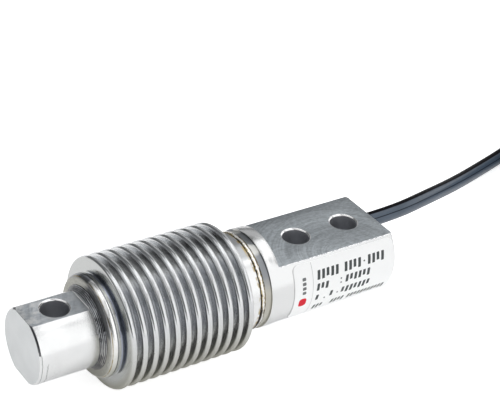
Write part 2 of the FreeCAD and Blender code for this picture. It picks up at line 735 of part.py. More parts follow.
def make_cable():
    """The cable outside the gland: the seen stretch, the tied coil and the tail."""
    columns = int(coil_columns.value)
    width = columns * cable_dia.value
    inner = coil_mean_radius.value - width / 2
    bottom = floor_height.value + LIFT
    section = Part.Face(Part.Wire(Part.makePolygon([
        Vector(inner, 0, bottom), Vector(inner + width, 0, bottom),
        Vector(inner + width, 0, bottom + width), Vector(inner, 0, bottom + width),
        Vector(inner, 0, bottom)])))
    coil = section.revolve(Vector(0, 0, 0), Vector(0, 0, 1), 360)
    rims = [edge for edge in coil.Edges if isinstance(edge.Curve, Part.Circle)]
    coil = coil.makeChamfer(coil_edge.value, rims)
    coil.translate(COIL_CENTRE)

    seen, _ = tube(ROUTE, RADIUS, "cable")
    nodes = [add_shape("cable", seen.cut(coil)), add_shape("cable_coil", coil)]

    route = [coil_point(r, TAIL_ANGLE - TAIL_STEP * n, z) for n, (r, z) in enumerate(TAIL)]
    heading = route[-1] - route[-2]
    heading.z = 0
    heading.normalize()
    sideways = Vector(0, 0, 1).cross(heading)
    route.append(route[-1] + sideways * TAIL_LAST_SWAY + heading * TAIL_LAST_RUN)
    tail, _ = tube(route, RADIUS, "cable tail")
    nodes.append(add_shape("cable_tail", tail.cut(coil)))
    return nodes, route


def make_ties():
    """Two flat ties round the coil, each with its lock, as one group."""
    columns = int(coil_columns.value)
    width = columns * cable_dia.value
    gap, band = strap_clearance.value, strap_thick.value
    inner = coil_mean_radius.value - width / 2 - gap
    low = floor_height.value + band
    side = width + 2 * gap
    depth = strap_width.value
    ties = []
    for angle in TIE_ANGLES:
        outer = Part.makeBox(side + 2 * band, depth, side + 2 * band,
                             Vector(inner - band, -depth / 2, low - band))
        hole = Part.makeBox(side, depth, side, Vector(inner, -depth / 2, low))
        outer, hole = (block.makeFillet(radius, [e for e in block.Edges
                                                 if abs(e.tangentAt(e.FirstParameter).y) > 0.99])
                       for block, radius in ((outer, coil_edge.value + band), (hole, coil_edge.value)))
        lock = Part.makeBox(lock_length.value, lock_width.value, lock_height.value,
                            Vector(inner + side / 2, -lock_width.value / 2, low + side + band))
        tie = outer.cut(hole).fuse(lock)
        tie.rotate(Vector(0, 0, 0), Vector(0, 0, 1), angle)
        tie.translate(COIL_CENTRE)
        ties.append(tie)
    return add_shape("coil_ties", Part.makeCompound(ties))


def make_cable_end(route):
    """Shrink sleeve, four cores and the shield wire at the cable's far end."""
    end = route[-1]
    heading = (end - route[-2]).normalize()
    across = Vector(0, 0, 1).cross(heading)
    start = end - heading * sleeve_overlap.value
    sleeve = Part.makeCylinder(RADIUS + sleeve_wall.value, sleeve_length.value, start, heading)
    pocket = Part.makeCylinder(RADIUS, sleeve_overlap.value, start, heading)
    straight = sleeve_length.value - sleeve_overlap.value + CORE_STRAIGHT
    bores, wires = [], []
    for name, aside, above, sway, length in CORES:
        diameter = shield_dia if name == "shield_wire" else core_dia
        radius = diameter.value / 2
        base = end + across * aside + Vector(0, 0, above)
        down = floor_height.value + radius - base.z
        points = [base, base + heading * straight,
                  base + heading * (straight + length) / 2 + across * sway + Vector(0, 0, down),
                  base + heading * length + across * sway * 2 + Vector(0, 0, down)]
        wires.append(add_shape(name, tube(points, radius, name)[0]))
        bores.append(Part.makeCylinder(radius + core_clearance.value,
                                       sleeve_length.value, base, heading))
    return [add_shape("end_sleeve", sleeve.cut(pocket).cut(bores))] + wires


def check_and_export(nodes):
    """Check every object of the document and each node, then write one file a node."""
    doc.recompute()
    for obj in doc.Objects:
        bad = [state for state in obj.State if state in ("Invalid", "Error")]
        assert not bad, f"{obj.Name}: {bad}"
    os.makedirs("parts", exist_ok=True)
    for node in nodes:
        shape = node.Shape
        assert not shape.isNull() and shape.isValid(), node.Label
        assert shape.Volume > 0 and shape.Solids, node.Label
        shape.exportStep(f"parts/{node.Label}.step")
        box = shape.BoundBox
        print(f"{node.Label:26s} solids {len(shape.Solids)} volume {shape.Volume:10.2f} "
              f"x {box.XMin:7.2f} {box.XMax:7.2f} y {box.YMin:7.2f} {box.YMax:7.2f} "
              f"z {box.ZMin:7.2f} {box.ZMax:7.2f}")


def main():
    nodes = [make_beam(), make_end_ring(), make_bellows(), make_front_weld(), make_rear_weld()]
    nodes += make_gauges() + [make_terminals()] + make_board()
    nodes += make_gland() + [make_potting(), make_label()]
    nodes += make_inner_wires()
    cable, tail_route = make_cable()
    nodes += cable + [make_ties()] + make_cable_end(tail_route)
    check_and_export(nodes)


main()
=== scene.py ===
"""Looks of a bellows-sealed bending beam load cell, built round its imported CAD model.

All lengths are metres in the row's frame: the beam lies along X, its turning axis is at
height AXIS_Z, and the origin is the centre of the mounting holes on the lower mounting flat.
"""
from __future__ import annotations

import logging
import math
from dataclasses import dataclass
from enum import Enum
from typing import Iterable, Sequence

import bmesh
import bpy
from mathutils import Matrix, Vector

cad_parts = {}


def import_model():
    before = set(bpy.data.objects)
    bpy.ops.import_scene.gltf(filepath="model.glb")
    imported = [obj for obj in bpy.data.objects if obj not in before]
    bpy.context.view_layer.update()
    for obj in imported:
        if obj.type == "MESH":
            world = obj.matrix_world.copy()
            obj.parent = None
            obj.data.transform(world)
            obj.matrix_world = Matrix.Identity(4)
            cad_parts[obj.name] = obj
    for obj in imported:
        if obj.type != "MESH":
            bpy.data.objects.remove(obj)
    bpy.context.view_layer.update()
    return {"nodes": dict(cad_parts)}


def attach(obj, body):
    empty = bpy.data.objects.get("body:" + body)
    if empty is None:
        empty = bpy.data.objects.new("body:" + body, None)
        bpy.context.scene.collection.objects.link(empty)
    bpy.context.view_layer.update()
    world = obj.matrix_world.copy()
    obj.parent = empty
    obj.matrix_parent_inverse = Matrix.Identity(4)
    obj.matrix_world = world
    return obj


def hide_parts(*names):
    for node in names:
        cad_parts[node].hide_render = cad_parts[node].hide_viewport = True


LOG = logging.getLogger("load_cell")
Socket = bpy.types.NodeSocket
Materials = dict[str, bpy.types.Material]
Pair = tuple[float, float]
Triple = tuple[float, float, float]

MM = 0.001
LOAD_FACE_X = -101.0 * MM
AXIS_Z = 10.0 * MM
FLAT_HEIGHT = 10.0 * MM
FLOOR_Z = -9.85 * MM
BODY = "root"
WHITE = (1.0, 1.0, 1.0)


def along(distance_mm: float) -> float:
    """X of a place given in millimetres from the load face."""
    return LOAD_FACE_X + distance_mm * MM


FRONT_LIP_X = along(22.25)
REAR_LIP_X = along(69.72)
CREST_RADIUS = 19.85 * MM
ROOT_RADIUS = 14.6 * MM
NECK_RADIUS = 15.45 * MM
SEAT_RADIUS = 11.02 * MM
RING_FACE = 20.05


class Slot(Enum):
    """Material slots of the record, kept by the turned pieces."""

    BEAM = "beam_steel"
    RING = "ring_steel"
    BELLOWS = "bellows_steel"
    FRONT_WELD = "weld_front"
    REAR_WELD = "weld_rear"
    LABEL = "label_white"
    JACKET = "cable_jacket"


# pieces
def new_object(name: str, data: bpy.types.ID) -> bpy.types.Object:
    """Link data to the scene as an object at the origin.

    Args:
        name: the object's name.
        data: its mesh, curve, light or camera.

    Returns:
        The linked object.
    """
    piece = bpy.data.objects.new(name, data)
    bpy.context.scene.collection.objects.link(piece)
    return piece


def smooth_by_angle(mesh: bpy.types.Mesh, degrees: float = 32.0) -> None:
    """Shade a mesh smooth, with edges sharper than an angle marked sharp.

    Args:
        mesh: the mesh to shade.
        degrees: edges that bend more than this stay sharp.
    """
    work = bmesh.new()
    work.from_mesh(mesh)
    for face in work.faces:
        face.smooth = True
    for edge in work.edges:
        bent = len(edge.link_faces) == 2 and edge.calc_face_angle(0.0) > math.radians(degrees)
        edge.smooth = not bent
    work.to_mesh(mesh)
    work.free()


def apply_modifiers(piece: bpy.types.Object) -> bpy.types.Mesh:
    """Replace a piece's mesh by what its modifiers make of it.

    Args:
        piece: the object; its modifiers are taken off.

    Returns:
        The new mesh.
    """
    shaped = piece.evaluated_get(bpy.context.evaluated_depsgraph_get())
    plain = bpy.data.meshes.new_from_object(shaped)
    piece.modifiers.clear()
    piece.data = plain
    return plain


def dress(piece: bpy.types.Object, nodes: Iterable[str] = ()) -> None:
    """Tie a finished piece to the body, hide the nodes it stands for and log its faces.

    Args:
        piece: the finished object.
        nodes: CAD nodes that it replaces.
    """
    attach(piece, BODY)
    if nodes:
        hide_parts(*nodes)
    LOG.info("made %s with %d faces", piece.name, len(getattr(piece.data, "polygons", ())))


# shader helpers
class Tree:
    """Short way to build a node tree: adds nodes, sets their inputs and links them."""

    def __init__(self, tree: bpy.types.NodeTree) -> None:
        """Keep the tree that nodes are added to."""
        self.tree = tree

    def add(self, kind: str, settings: dict[str, object] | None = None,
            **inputs: object) -> bpy.types.Node:
        """Add a node.

        Args:
            kind: the node's type name.
            settings: its properties.
            **inputs: socket values or sockets to link, by the socket's name with spaces as
                underscores, or by number as i0, i1 and so on.

        Returns:
            The new node.
        """
        node = self.tree.nodes.new(kind)
        for name, value in (settings or {}).items():
            setattr(node, name, value)
        for name, value in inputs.items():
            key = int(name[1:]) if name[0] == "i" and name[1:].isdigit() else name.replace("_", " ")
            self.feed(node.inputs[key], value)
        return node

    def feed(self, socket: Socket, value: object) -> None:
        """Link an output socket to an input, or set the input's own value.

        Args:
            socket: the input.
            value: an output socket or a plain value; a colour may leave out its opacity.
        """
        if isinstance(value, bpy.types.NodeSocket):
            self.tree.links.new(value, socket)
        elif socket.type == "RGBA" and len(value) == 3:
            socket.default_value = (*value, 1.0)
        else:
            socket.default_value = value

    def math(self, operation: str, *values: object) -> Socket:
        """One Math node on sockets or numbers, as its output socket."""
        inputs = {f"i{n}": value for n, value in enumerate(values)}
        return self.add("ShaderNodeMath", {"operation": operation}, **inputs).outputs[0]

    def plus(self, first: object, second: object) -> Socket:
        """Sum of two values."""
        return self.math("ADD", first, second)

    def minus(self, first: object, second: object) -> Socket:
        """Difference of two values."""
        return self.math("SUBTRACT", first, second)

    def times(self, first: object, second: object) -> Socket:
        """Product of two values."""
        return self.math("MULTIPLY", first, second)

    def jitter(self, noise: Socket, swing: float) -> Socket:
        """Noise about its middle, stretched to a swing."""
        return self.times(self.minus(noise, 0.5), swing)

    def vector(self, operation: str, *values: object) -> bpy.types.Node:
        """One Vector Math node on sockets or plain vectors."""
        inputs = {f"i{n}": value for n, value in enumerate(values)}
        return self.add("ShaderNodeVectorMath", {"operation": operation}, **inputs)

    def ramp(self, value: object, low: float, high: float, out_low: float = 0.0,
             out_high: float = 1.0) -> Socket:
        """A clamped map of a value from one range to another, as its output socket."""
        return self.add("ShaderNodeMapRange", {"clamp": True}, Value=value, From_Min=low,
                        From_Max=high, To_Min=out_low, To_Max=out_high).outputs[0]

    def mix(self, factor: object, first: object, second: object) -> Socket:
        """A colour mix, as its output socket."""
        return self.add("ShaderNodeMix", {"data_type": "RGBA"}, i0=factor, i6=first,
                        i7=second).outputs[2]


class ToolMarks:
    """Shared node group: fine grooves round or along a machined surface."""

    inputs = (("Vector", "NodeSocketVector"), ("Stretch", "NodeSocketVector"),
              ("Smudge Scale", "NodeSocketFloat"), ("Low", "NodeSocketFloat"),
              ("High", "NodeSocketFloat"))

    def __init__(self) -> None:
        """Build the group once."""
        self.group = bpy.data.node_groups.new("tool_marks", "ShaderNodeTree")
        for name, kind in self.inputs:
            self.group.interface.new_socket(name, in_out="INPUT", socket_type=kind)
        for name in ("Height", "Roughness", "Smudge"):
            self.group.interface.new_socket(name, in_out="OUTPUT", socket_type="NodeSocketFloat")
        tree = Tree(self.group)
        given = tree.add("NodeGroupInput").outputs
        stretch = tree.vector("MULTIPLY", given["Vector"], given["Stretch"])
        grooves = tree.add("ShaderNodeTexNoise", Vector=stretch.outputs[0], Scale=1.0,
                           Detail=5.0, Roughness=0.65).outputs["Fac"]
        smudge = tree.add("ShaderNodeTexNoise", Vector=given["Vector"],
                          Scale=given["Smudge Scale"], Detail=3.0).outputs["Fac"]
        wide = tree.ramp(smudge, 0.3, 0.7)
        blend = tree.plus(tree.times(grooves, 0.6), tree.times(wide, 0.4))
        span = tree.minus(given["High"], given["Low"])
        tree.add("NodeGroupOutput", Height=grooves, Smudge=wide,
                 Roughness=tree.plus(given["Low"], tree.times(blend, span)))


class Coating(Tree):
    """A material in the making: its tree, its main shader and the colour laid so far."""

    def __init__(self, finish: Finish, marks: ToolMarks) -> None:
        """Begin the material with the finish's constant values.

        Args:
            finish: the finish that is made.
            marks: the shared group of grooves.
        """
        self.material = bpy.data.materials.new(finish.name)
        self.material.use_nodes = True
        super().__init__(self.material.node_tree)
        self.shader = self.tree.nodes["Principled BSDF"]
        self.marks = marks
        self.place = self.add("ShaderNodeTexCoord").outputs["Object"]
        self.tone: object = finish.base
        self.shine(Metallic=finish.metallic, Roughness=finish.roughness)

    def shine(self, **inputs: object) -> None:
        """Set or feed inputs of the main shader, named with underscores for spaces."""
        for name, value in inputs.items():
            self.feed(self.shader.inputs[name.replace("_", " ")], value)

    def lay(self, mask: object, tone: object) -> None:
        """Lay a colour over what is there, as far as a mask goes."""
        self.tone = self.mix(mask, self.tone, tone)

    def split(self) -> tuple[Socket, ...]:
        """The three coordinates of the shaded point."""
        return tuple(self.add("ShaderNodeSeparateXYZ", Vector=self.place).outputs)

    def radius(self) -> Socket:
        """Distance of the shaded point from the turning axis."""
        _, y, z = self.split()
        flat = self.add("ShaderNodeCombineXYZ", Y=y, Z=self.minus(z, AXIS_Z))
        return self.vector("LENGTH", flat.outputs[0]).outputs["Value"]

    def noise(self, scale: Triple, detail: float, roughness: float,
              vector: Socket | None = None) -> Socket:
        """Stretched noise from 0 to 1.

        Args:
            scale: cycles a metre along each axis.
            detail: number of finer layers.
            roughness: strength of the finer layers.
            vector: coordinates, or None for the piece's own.

        Returns:
            The noise.
        """
        stretch = self.add("ShaderNodeMapping", Scale=scale,
                           Vector=self.place if vector is None else vector)
        return self.add("ShaderNodeTexNoise", Vector=stretch.outputs[0], Scale=1.0,
                        Detail=detail, Roughness=roughness).outputs["Fac"]

    def grooves(self, stretch: Triple, low: float, high: float,
                smudge: float = 120.0) -> bpy.types.Node:
        """Put the shared group in and let it set the roughness.

        Args:
            stretch: scale of the grooves along each axis, in cycles a metre.
            low: lowest roughness.
            high: highest roughness.
            smudge: scale of the wide patches, in cycles a metre.

        Returns:
            The group's node.
        """
        node = self.add("ShaderNodeGroup", {"node_tree": self.marks.group}, Vector=self.place,
                        Stretch=stretch, Smudge_Scale=smudge, Low=low, High=high)
        self.shine(Roughness=node.outputs["Roughness"])
        return node

    def bump(self, height: Socket, strength: float, depth: float) -> None:
        """Let a height bend the shading, its depth in millimetres."""
        node = self.add("ShaderNodeBump", Strength=strength, Distance=depth * MM, Height=height)
        self.shine(Normal=node.outputs[0])


def shade(tone: Triple, share: float, most: float = 1.0) -> Triple:
    """A colour times a share, no channel above a limit."""
    return tuple(min(channel * share, most) for channel in tone)


# finishes
@dataclass(frozen=True)
class Finish:
    """One finish: its name and the constant values of its shader."""

    name: str
    base: Triple = (0.5, 0.5, 0.5)
    roughness: float = 0.5
    metallic: float = 0.0

    def make(self, marks: ToolMarks) -> bpy.types.Material:
        """Build the material.

        Args:
            marks: the shared group of grooves.

        Returns:
            The material.
        """
        coat = Coating(self, marks)
        self.paint(coat)
        coat.shine(Base_Color=coat.tone)
        return coat.material

    def paint(self, coat: Coating) -> None:
        """Add the finish's own nodes.

        Args:
            coat: the material in the making; its tone ends as the base colour.
        """
        raise NotImplementedError


@dataclass(frozen=True)
class MachinedSteel(Finish):
    """Stainless steel with fine tool marks."""

    metallic: float = 1.0
    stretch: Triple = (6000.0, 40.0, 40.0)
    low: float = 0.2
    high: float = 0.4
    depth: float = 0.004
    darkest: float = 0.8

    def paint(self, coat: Coating) -> None:
        """Lay darker smudges and fine grooves on the steel."""
        group = coat.grooves(self.stretch, self.low, self.high)
        coat.lay(group.outputs["Smudge"], shade(self.base, self.darkest))
        coat.bump(group.outputs["Height"], 0.5, self.depth)


@dataclass(frozen=True)
class TurnedSteel(MachinedSteel):
    """Turned steel with two ragged lines near the load end; the block is a little darker.

    Each line has its place, its width, its swing and the height where it ends.
    """

    lines: tuple[tuple[float, float, float, float], ...] = (
        (along(2.3), 0.14 * MM, 2.4 * MM, AXIS_Z + 1.0 * MM),
        (along(0.62), 0.12 * MM, 0.5 * MM, AXIS_Z + 4.2 * MM))
    block_share: float = 0.9

    def paint(self, coat: Coating) -> None:
        """Add the block's shade and the two lines to the machined steel."""
        super().paint(coat)
        x, _, z = coat.split()
        jag = coat.noise((60.0, 900.0, 900.0), 3.0, 0.9)
        coat.lay(coat.ramp(x, along(60.0), along(73.0)), shade(self.base, self.block_share))
        for mark, width, swing, top in self.lines:
            away = coat.math("ABSOLUTE", coat.plus(coat.minus(x, mark), coat.jitter(jag, swing)))
            line = coat.times(coat.ramp(away, width, width * 0.4),
                              coat.ramp(z, top, top - 1.0 * MM))
            coat.lay(line, shade(self.base, 0.3))


@dataclass(frozen=True)
class BrightGrainSteel(Finish):
    """Steel in bright and dark grains: the face mill's ragged edge along a flat, and, all white, a
    painted highlight.
    """

    metallic: float = 1.0
    bright: Triple = (0.95, 0.95, 0.95)

    def paint(self, coat: Coating) -> None:
        """Break the steel up into bright and dark grains."""
        ragged = coat.noise((900.0, 900.0, 900.0), 2.0, 0.8)
        coat.lay(coat.ramp(ragged, 0.46, 0.54), self.bright)
        coat.grooves((900.0, 900.0, 900.0), 0.15, 0.35)
        coat.bump(ragged, 0.8, 0.05)


@dataclass(frozen=True)
class MilledSteel(Finish):
    """Face-milled stainless flat: arcs of a wide cutter, scratches, a darker far end and a painted
    highlight at its end.
    """

    metallic: float = 1.0
    cutter: Pair = (0.030, -0.060)
    arc_scale: float = 1100.0
    darkest: float = 0.55
    worn: float = 0.0
    end_highlight_x: float = along(200.0)

    def paint(self, coat: Coating) -> None:
        """Lay the cutter's arcs, the wear near the load face and the painted highlight along the
        flat's end.
        """
        x, y, _ = coat.split()
        shift = coat.vector("SUBTRACT", coat.place, (*self.cutter, 0.0))
        flat = coat.vector("MULTIPLY", shift.outputs[0], (1.0, 1.0, 0.0))
        reach = coat.vector("LENGTH", flat.outputs[0])
        arc = coat.add("ShaderNodeCombineXYZ", X=reach.outputs["Value"], Y=x, Z=y)
        swirls = coat.noise((self.arc_scale, 40.0, 40.0), 4.0, 0.8, arc.outputs[0])
        group = coat.grooves((60.0, 1500.0, 60.0), 0.32, 0.5, 90.0)
        both = coat.plus(coat.times(swirls, 0.75), coat.times(group.outputs["Height"], 0.25))
        speck = coat.noise((800.0, 1400.0, 60.0), 3.0, 0.8)
        light = coat.ramp(coat.plus(coat.times(both, 0.6), coat.times(speck, 0.4)), 0.42, 0.58)
        coat.tone = coat.mix(light, shade(self.base, self.darkest), self.base)
        cloud = coat.noise((260.0, 330.0, 60.0), 4.0, 0.65)
        faded = coat.times(coat.ramp(x, along(9.0), along(2.0), 0.45, 1.0), self.worn)
        coat.lay(coat.times(coat.ramp(cloud, 0.40, 0.62), faded), shade(self.base, 1.5, 0.95))
        coat.lay(coat.ramp(x, along(9.0), along(17.0), 0.0, self.worn * 0.4),
                 shade(self.base, 0.6))
        # Painted highlight: a white, hardly metallic band along the flat's end by the shoulder.
        line = coat.ramp(x, self.end_highlight_x, self.end_highlight_x + 0.06 * MM)
        coat.lay(line, WHITE)
        coat.shine(Metallic=coat.ramp(line, 0.0, 1.0, 1.0, 0.2))
        coat.bump(both, 0.6, 0.006)


@dataclass(frozen=True)
class BellowsSteel(Finish):
    """Formed stainless sheet: bright crests, grainy matt underside with painted shade, polished
    necks.
    """

    metallic: float = 1.0
    crest_tone: Triple = (0.66, 0.67, 0.68)
    root_shade_tone: Triple = (0.53, 0.54, 0.56)
    root_light_tone: Triple = (0.92, 0.92, 0.91)
    underside_shade_tone: Triple = (0.40, 0.395, 0.34)
    front_tone: Triple = (0.60, 0.61, 0.60)
    neck_tone: Triple = (0.78, 0.785, 0.785)
    neck_top_shade: Triple = (0.42, 0.43, 0.44)
    gap_shade_tone: Triple = (0.30, 0.32, 0.38)
    heat_tone: Triple = (0.38, 0.29, 0.13)
    rear_neck: float = along(65.74)
    front_neck: float = along(23.9)
    front_face: float = along(24.5)

    def paint(self, coat: Coating) -> None:
        """Lay the tones from the roots outwards, then the necks and the heat by the weld; painted
        shade darkens the near roots, the underside, the rear neck's top and the gap by the end
        ring.
        """
        x, y, z = coat.split()
        radius = coat.radius()
        height = coat.ramp(radius, ROOT_RADIUS, CREST_RADIUS)
        group = coat.grooves((1500.0, 200.0, 200.0), 0.13, 0.24, 300.0)
        grain = coat.noise((3800.0, 3800.0, 3800.0), 2.0, 0.5)
        # Painted shade in the roots: darker on the near upper side, lighter on the far side and
        # below.
        lit_roots = coat.math("MAXIMUM", coat.ramp(y, -6.5 * MM, -2.5 * MM),
                         coat.ramp(z, AXIS_Z + 1.0 * MM, AXIS_Z - 5.0 * MM))
        coat.tone = coat.mix(lit_roots, self.root_shade_tone, self.root_light_tone)
        coat.lay(coat.ramp(height, 0.05, 0.55), self.base)
        coat.lay(coat.times(coat.ramp(height, 0.9, 0.99), 0.85), self.crest_tone)
        coat.lay(coat.ramp(x, self.front_face, self.front_face - 0.25 * MM), self.front_tone)
        # Painted shade: the folds are darker and olive towards the bottom.
        under = coat.ramp(z, AXIS_Z - 13.0 * MM, AXIS_Z + 6.0 * MM, 1.0, 0.0)
        outer = coat.times(under, coat.ramp(height, 0.35, 0.8))
        coat.lay(outer, self.underside_shade_tone)
        coat.lay(coat.times(coat.ramp(grain, 0.45, 0.7), 0.28), shade(self.base, 0.55))
        # Painted shade along the top of the rear neck.
        streaks = coat.noise((120.0, 1400.0, 1400.0), 3.0, 0.7)
        high = coat.ramp(coat.plus(z, coat.times(streaks, 1.2 * MM)),
                         AXIS_Z + 13.6 * MM, AXIS_Z + 14.4 * MM)
        rear = coat.ramp(x, self.rear_neck, self.rear_neck + 0.5 * MM)
        coat.lay(rear, coat.mix(high, self.neck_tone, self.neck_top_shade))
        patches = coat.noise((700.0, 420.0, 420.0), 4.0, 0.65)
        heat = coat.times(coat.ramp(x, REAR_LIP_X - 0.7 * MM, REAR_LIP_X - 0.2 * MM),
                          coat.ramp(patches, 0.44, 0.54))
        coat.lay(heat, self.heat_tone)
        # Painted shade in the gap between the end ring and the first fold.
        front = coat.times(coat.ramp(x, self.front_neck, self.front_neck + 0.2 * MM, 1.0, 0.0),
                           coat.ramp(radius, 15.1 * MM, 15.4 * MM, 1.0, 0.0))
        coat.lay(front, self.gap_shade_tone)
        matt = coat.times(coat.math("MAXIMUM", outer, coat.times(rear, 0.4)), 0.26)
        coat.shine(Roughness=coat.plus(group.outputs["Roughness"], matt))
        coat.bump(grain, 0.35, 0.012)


@dataclass(frozen=True)
class FilletSteel(Finish):
    """Dark weld fillet with fine rings of the pool, lighter towards the bottom."""

    upper_tone: Triple = (0.58, 0.60, 0.62)
    lower_tone: Triple = (0.62, 0.61, 0.58)
    scale: Triple = (0.045, 0.045, 0.05)
    line_pitch: float = 0.70 * MM
    line_start: float = 0.85

    def paint(self, coat: Coating) -> None:
        """Lay the dark, broken rings over the bright steel."""
        x, _, z = coat.split()
        patches = coat.noise((40.0, 130.0, 130.0), 3.0, 0.6)
        turn = coat.times(coat.plus(x, coat.radius()), math.tau / self.line_pitch)
        rings = coat.math("SINE", coat.plus(turn, coat.times(patches, 7.0)))
        coat.tone = coat.mix(coat.ramp(z, AXIS_Z - 4.0 * MM, AXIS_Z + 4.0 * MM, 1.0, 0.0),
                             self.upper_tone, self.lower_tone)
        broken = coat.ramp(coat.noise((500.0, 260.0, 260.0), 3.0, 0.7), 0.4, 0.6, 0.4, -0.4)
        lines = coat.ramp(coat.plus(rings, broken), self.line_start, self.line_start - 0.5,
                          0.0, 0.95)
        coat.lay(lines, self.scale)
        coat.shine(Metallic=coat.ramp(lines, 0.2, 0.9, 0.5, 1.0))
        coat.grooves((2600.0, 300.0, 300.0), 0.12, 0.28, 500.0)
        coat.bump(rings, 0.8, 0.04)


@dataclass(frozen=True)
class BeadSteel(Finish):
    """Shiny weld bead between two uneven dark seams with golden heat tint beside them.

    Each seam has its place, the half width of its line and that of its tint.
    """

    metallic: float = 1.0
    seams: tuple[Triple, ...] = (
        (along(70.05), 0.17 * MM, 0.62 * MM), (along(71.45), 0.11 * MM, 0.36 * MM))
    tint: Triple = (0.42, 0.34, 0.17)
    scale: Triple = (0.035, 0.03, 0.028)

    def paint(self, coat: Coating) -> None:
        """Lay the tint and the line of each seam, and the burnt lower end."""
        x, _, z = coat.split()
        patches = coat.noise((420.0, 300.0, 300.0), 4.0, 0.65)
        flecks = coat.noise((1500.0, 800.0, 800.0), 3.0, 0.7)
        wobble = coat.jitter(flecks, 1.5 * MM)
        for seam, line, halo in self.seams:
            away = coat.math("ABSOLUTE", coat.plus(coat.minus(x, seam), wobble))
            coat.lay(coat.times(coat.ramp(away, halo, halo * 0.6),
                                coat.ramp(patches, 0.36, 0.48)), self.tint)
            coat.lay(coat.ramp(away, line * 1.5, line), self.scale)
        bottom = coat.times(coat.ramp(z, AXIS_Z + 0.6 * MM, AXIS_Z - 0.8 * MM),
                            coat.ramp(x, along(70.95), along(70.65)))
        coat.lay(coat.times(bottom, coat.ramp(flecks, 0.39, 0.43)), self.scale)
        coat.grooves((2600.0, 300.0, 300.0), 0.14, 0.34, 500.0)
        coat.bump(flecks, 0.6, 0.03)


@dataclass(frozen=True)
class PaintedReflectionSteel(Finish):
    """Groove beside the rear weld, its tones laid by height: olive below, then painted shade, a
    painted highlight band, and painted shade at the top.
    """

    metallic: float = 1.0
    top_shade_tone: Triple = (0.20, 0.21, 0.22)
    highlight_tone: Triple = (0.60, 0.60, 0.58)
    painted_shade_tone: Triple = (0.25, 0.26, 0.275)
    low_tone: Triple = (0.48, 0.47, 0.42)

    def paint(self, coat: Coating) -> None:
        """Change the tone by height as painted shade and a painted highlight, with an uneven edge
        between the tones.
        """
        _, _, z = coat.split()
        cloud = coat.noise((500.0, 300.0, 300.0), 4.0, 0.6)
        height = coat.plus(coat.minus(z, AXIS_Z), coat.jitter(cloud, 1.5 * MM))
        coat.tone = self.low_tone
        # By height: painted shade, then a painted highlight band, then painted shade at the top.
        coat.lay(coat.ramp(height, 4.0 * MM, 8.5 * MM), self.painted_shade_tone)
        coat.lay(coat.ramp(height, 12.9 * MM, 13.5 * MM), self.highlight_tone)
        coat.lay(coat.ramp(height, 14.4 * MM, 14.7 * MM), self.top_shade_tone)
        group = coat.grooves((3000.0, 300.0, 300.0), 0.28, 0.45, 500.0)
        coat.bump(group.outputs["Height"], 0.5, 0.01)


@dataclass(frozen=True)
class RingSteel(Finish):
    """Grainy grey-beige face that turns into a polished shoulder, both with painted shade."""

    metallic: float = 1.0
    face_x: float = along(20.25)
    shoulder_x: float = along(20.5)
    rim_x: float = along(20.62)
    face_tone: Triple = (0.50, 0.495, 0.455)
    painted_shade_tone: Triple = (0.17, 0.175, 0.185)
    low_tone: Triple = (0.34, 0.335, 0.29)
    shade_tone: Triple = (0.24, 0.25, 0.27)
    low_shoulder_shade_tone: Triple = (0.52, 0.515, 0.47)
    rim_tone: Triple = (0.28, 0.22, 0.10)

    def paint(self, coat: Coating) -> None:
        """Lay the shoulder's tones and painted shade, the matt face with its painted shade over
        them, and the tinted rim between.
        """
        x, y, z = coat.split()
        face = coat.ramp(x, self.face_x, self.shoulder_x, 1.0, 0.0)
        grain = coat.noise((2600.0, 2600.0, 2600.0), 3.0, 0.6)
        cloud = coat.noise((330.0, 330.0, 330.0), 3.0, 0.6)
        streaks = coat.noise((120.0, 1500.0, 1500.0), 3.0, 0.7)
        height = coat.plus(coat.minus(z, AXIS_Z), coat.jitter(cloud, 6.0 * MM))
        beyond = coat.plus(y, coat.jitter(streaks, 3.0 * MM))
        # Face: painted shade, darker towards the bottom and on its upper near side.
        matt = coat.mix(coat.ramp(height, -4.0 * MM, -12.0 * MM), self.face_tone, self.low_tone)
        shaded = coat.times(coat.ramp(height, 3.5 * MM, 6.0 * MM),
                            coat.ramp(beyond, 1.0 * MM, -1.0 * MM))
        matt = coat.mix(shaded, matt, self.painted_shade_tone)
        matt = coat.mix(coat.times(coat.ramp(grain, 0.45, 0.65), 0.6), matt,
                        shade(self.face_tone, 0.5))
        # Shoulder: painted shade on its far side and towards its bottom.
        coat.lay(coat.ramp(beyond, -0.3 * MM, 0.9 * MM), self.shade_tone)
        coat.lay(coat.ramp(height, 3.0 * MM, -6.0 * MM), self.low_shoulder_shade_tone)
        coat.lay(face, matt)
        away = coat.math("ABSOLUTE", coat.minus(x, self.rim_x))
        coat.lay(coat.times(coat.ramp(away, 0.16 * MM, 0.06 * MM),
                            coat.ramp(cloud, 0.42, 0.52, 0.25, 0.9)), self.rim_tone)
        coat.shine(Roughness=coat.ramp(face, 0.0, 1.0, 0.26, 0.46))
        coat.bump(coat.times(grain, face), 0.5, 0.03)


@dataclass(frozen=True)
class Moulded(Finish):
    """Plastic, rubber, film or resin with a faint grain and an optional clear gloss."""

    grain: float = 2500.0
    depth: float = 0.004
    gloss: float = 0.0
    spread: float = 0.06
    darkest: float = 0.85

    def paint(self, coat: Coating) -> None:
        """Lay wide, faint patches and a fine grain."""
        coat.shine(Coat_Weight=self.gloss, Coat_Roughness=0.08)
        fine = coat.noise((self.grain, self.grain, self.grain), 3.0, 0.6)
        wide = coat.ramp(coat.noise((140.0, 140.0, 140.0), 2.0, 0.5), 0.35, 0.65)
        coat.tone = coat.mix(wide, shade(self.base, self.darkest), self.base)
        coat.shine(Roughness=coat.ramp(fine, 0.3, 0.7, self.roughness - self.spread,
                                       self.roughness + self.spread))
        coat.bump(fine, 0.4, self.depth)


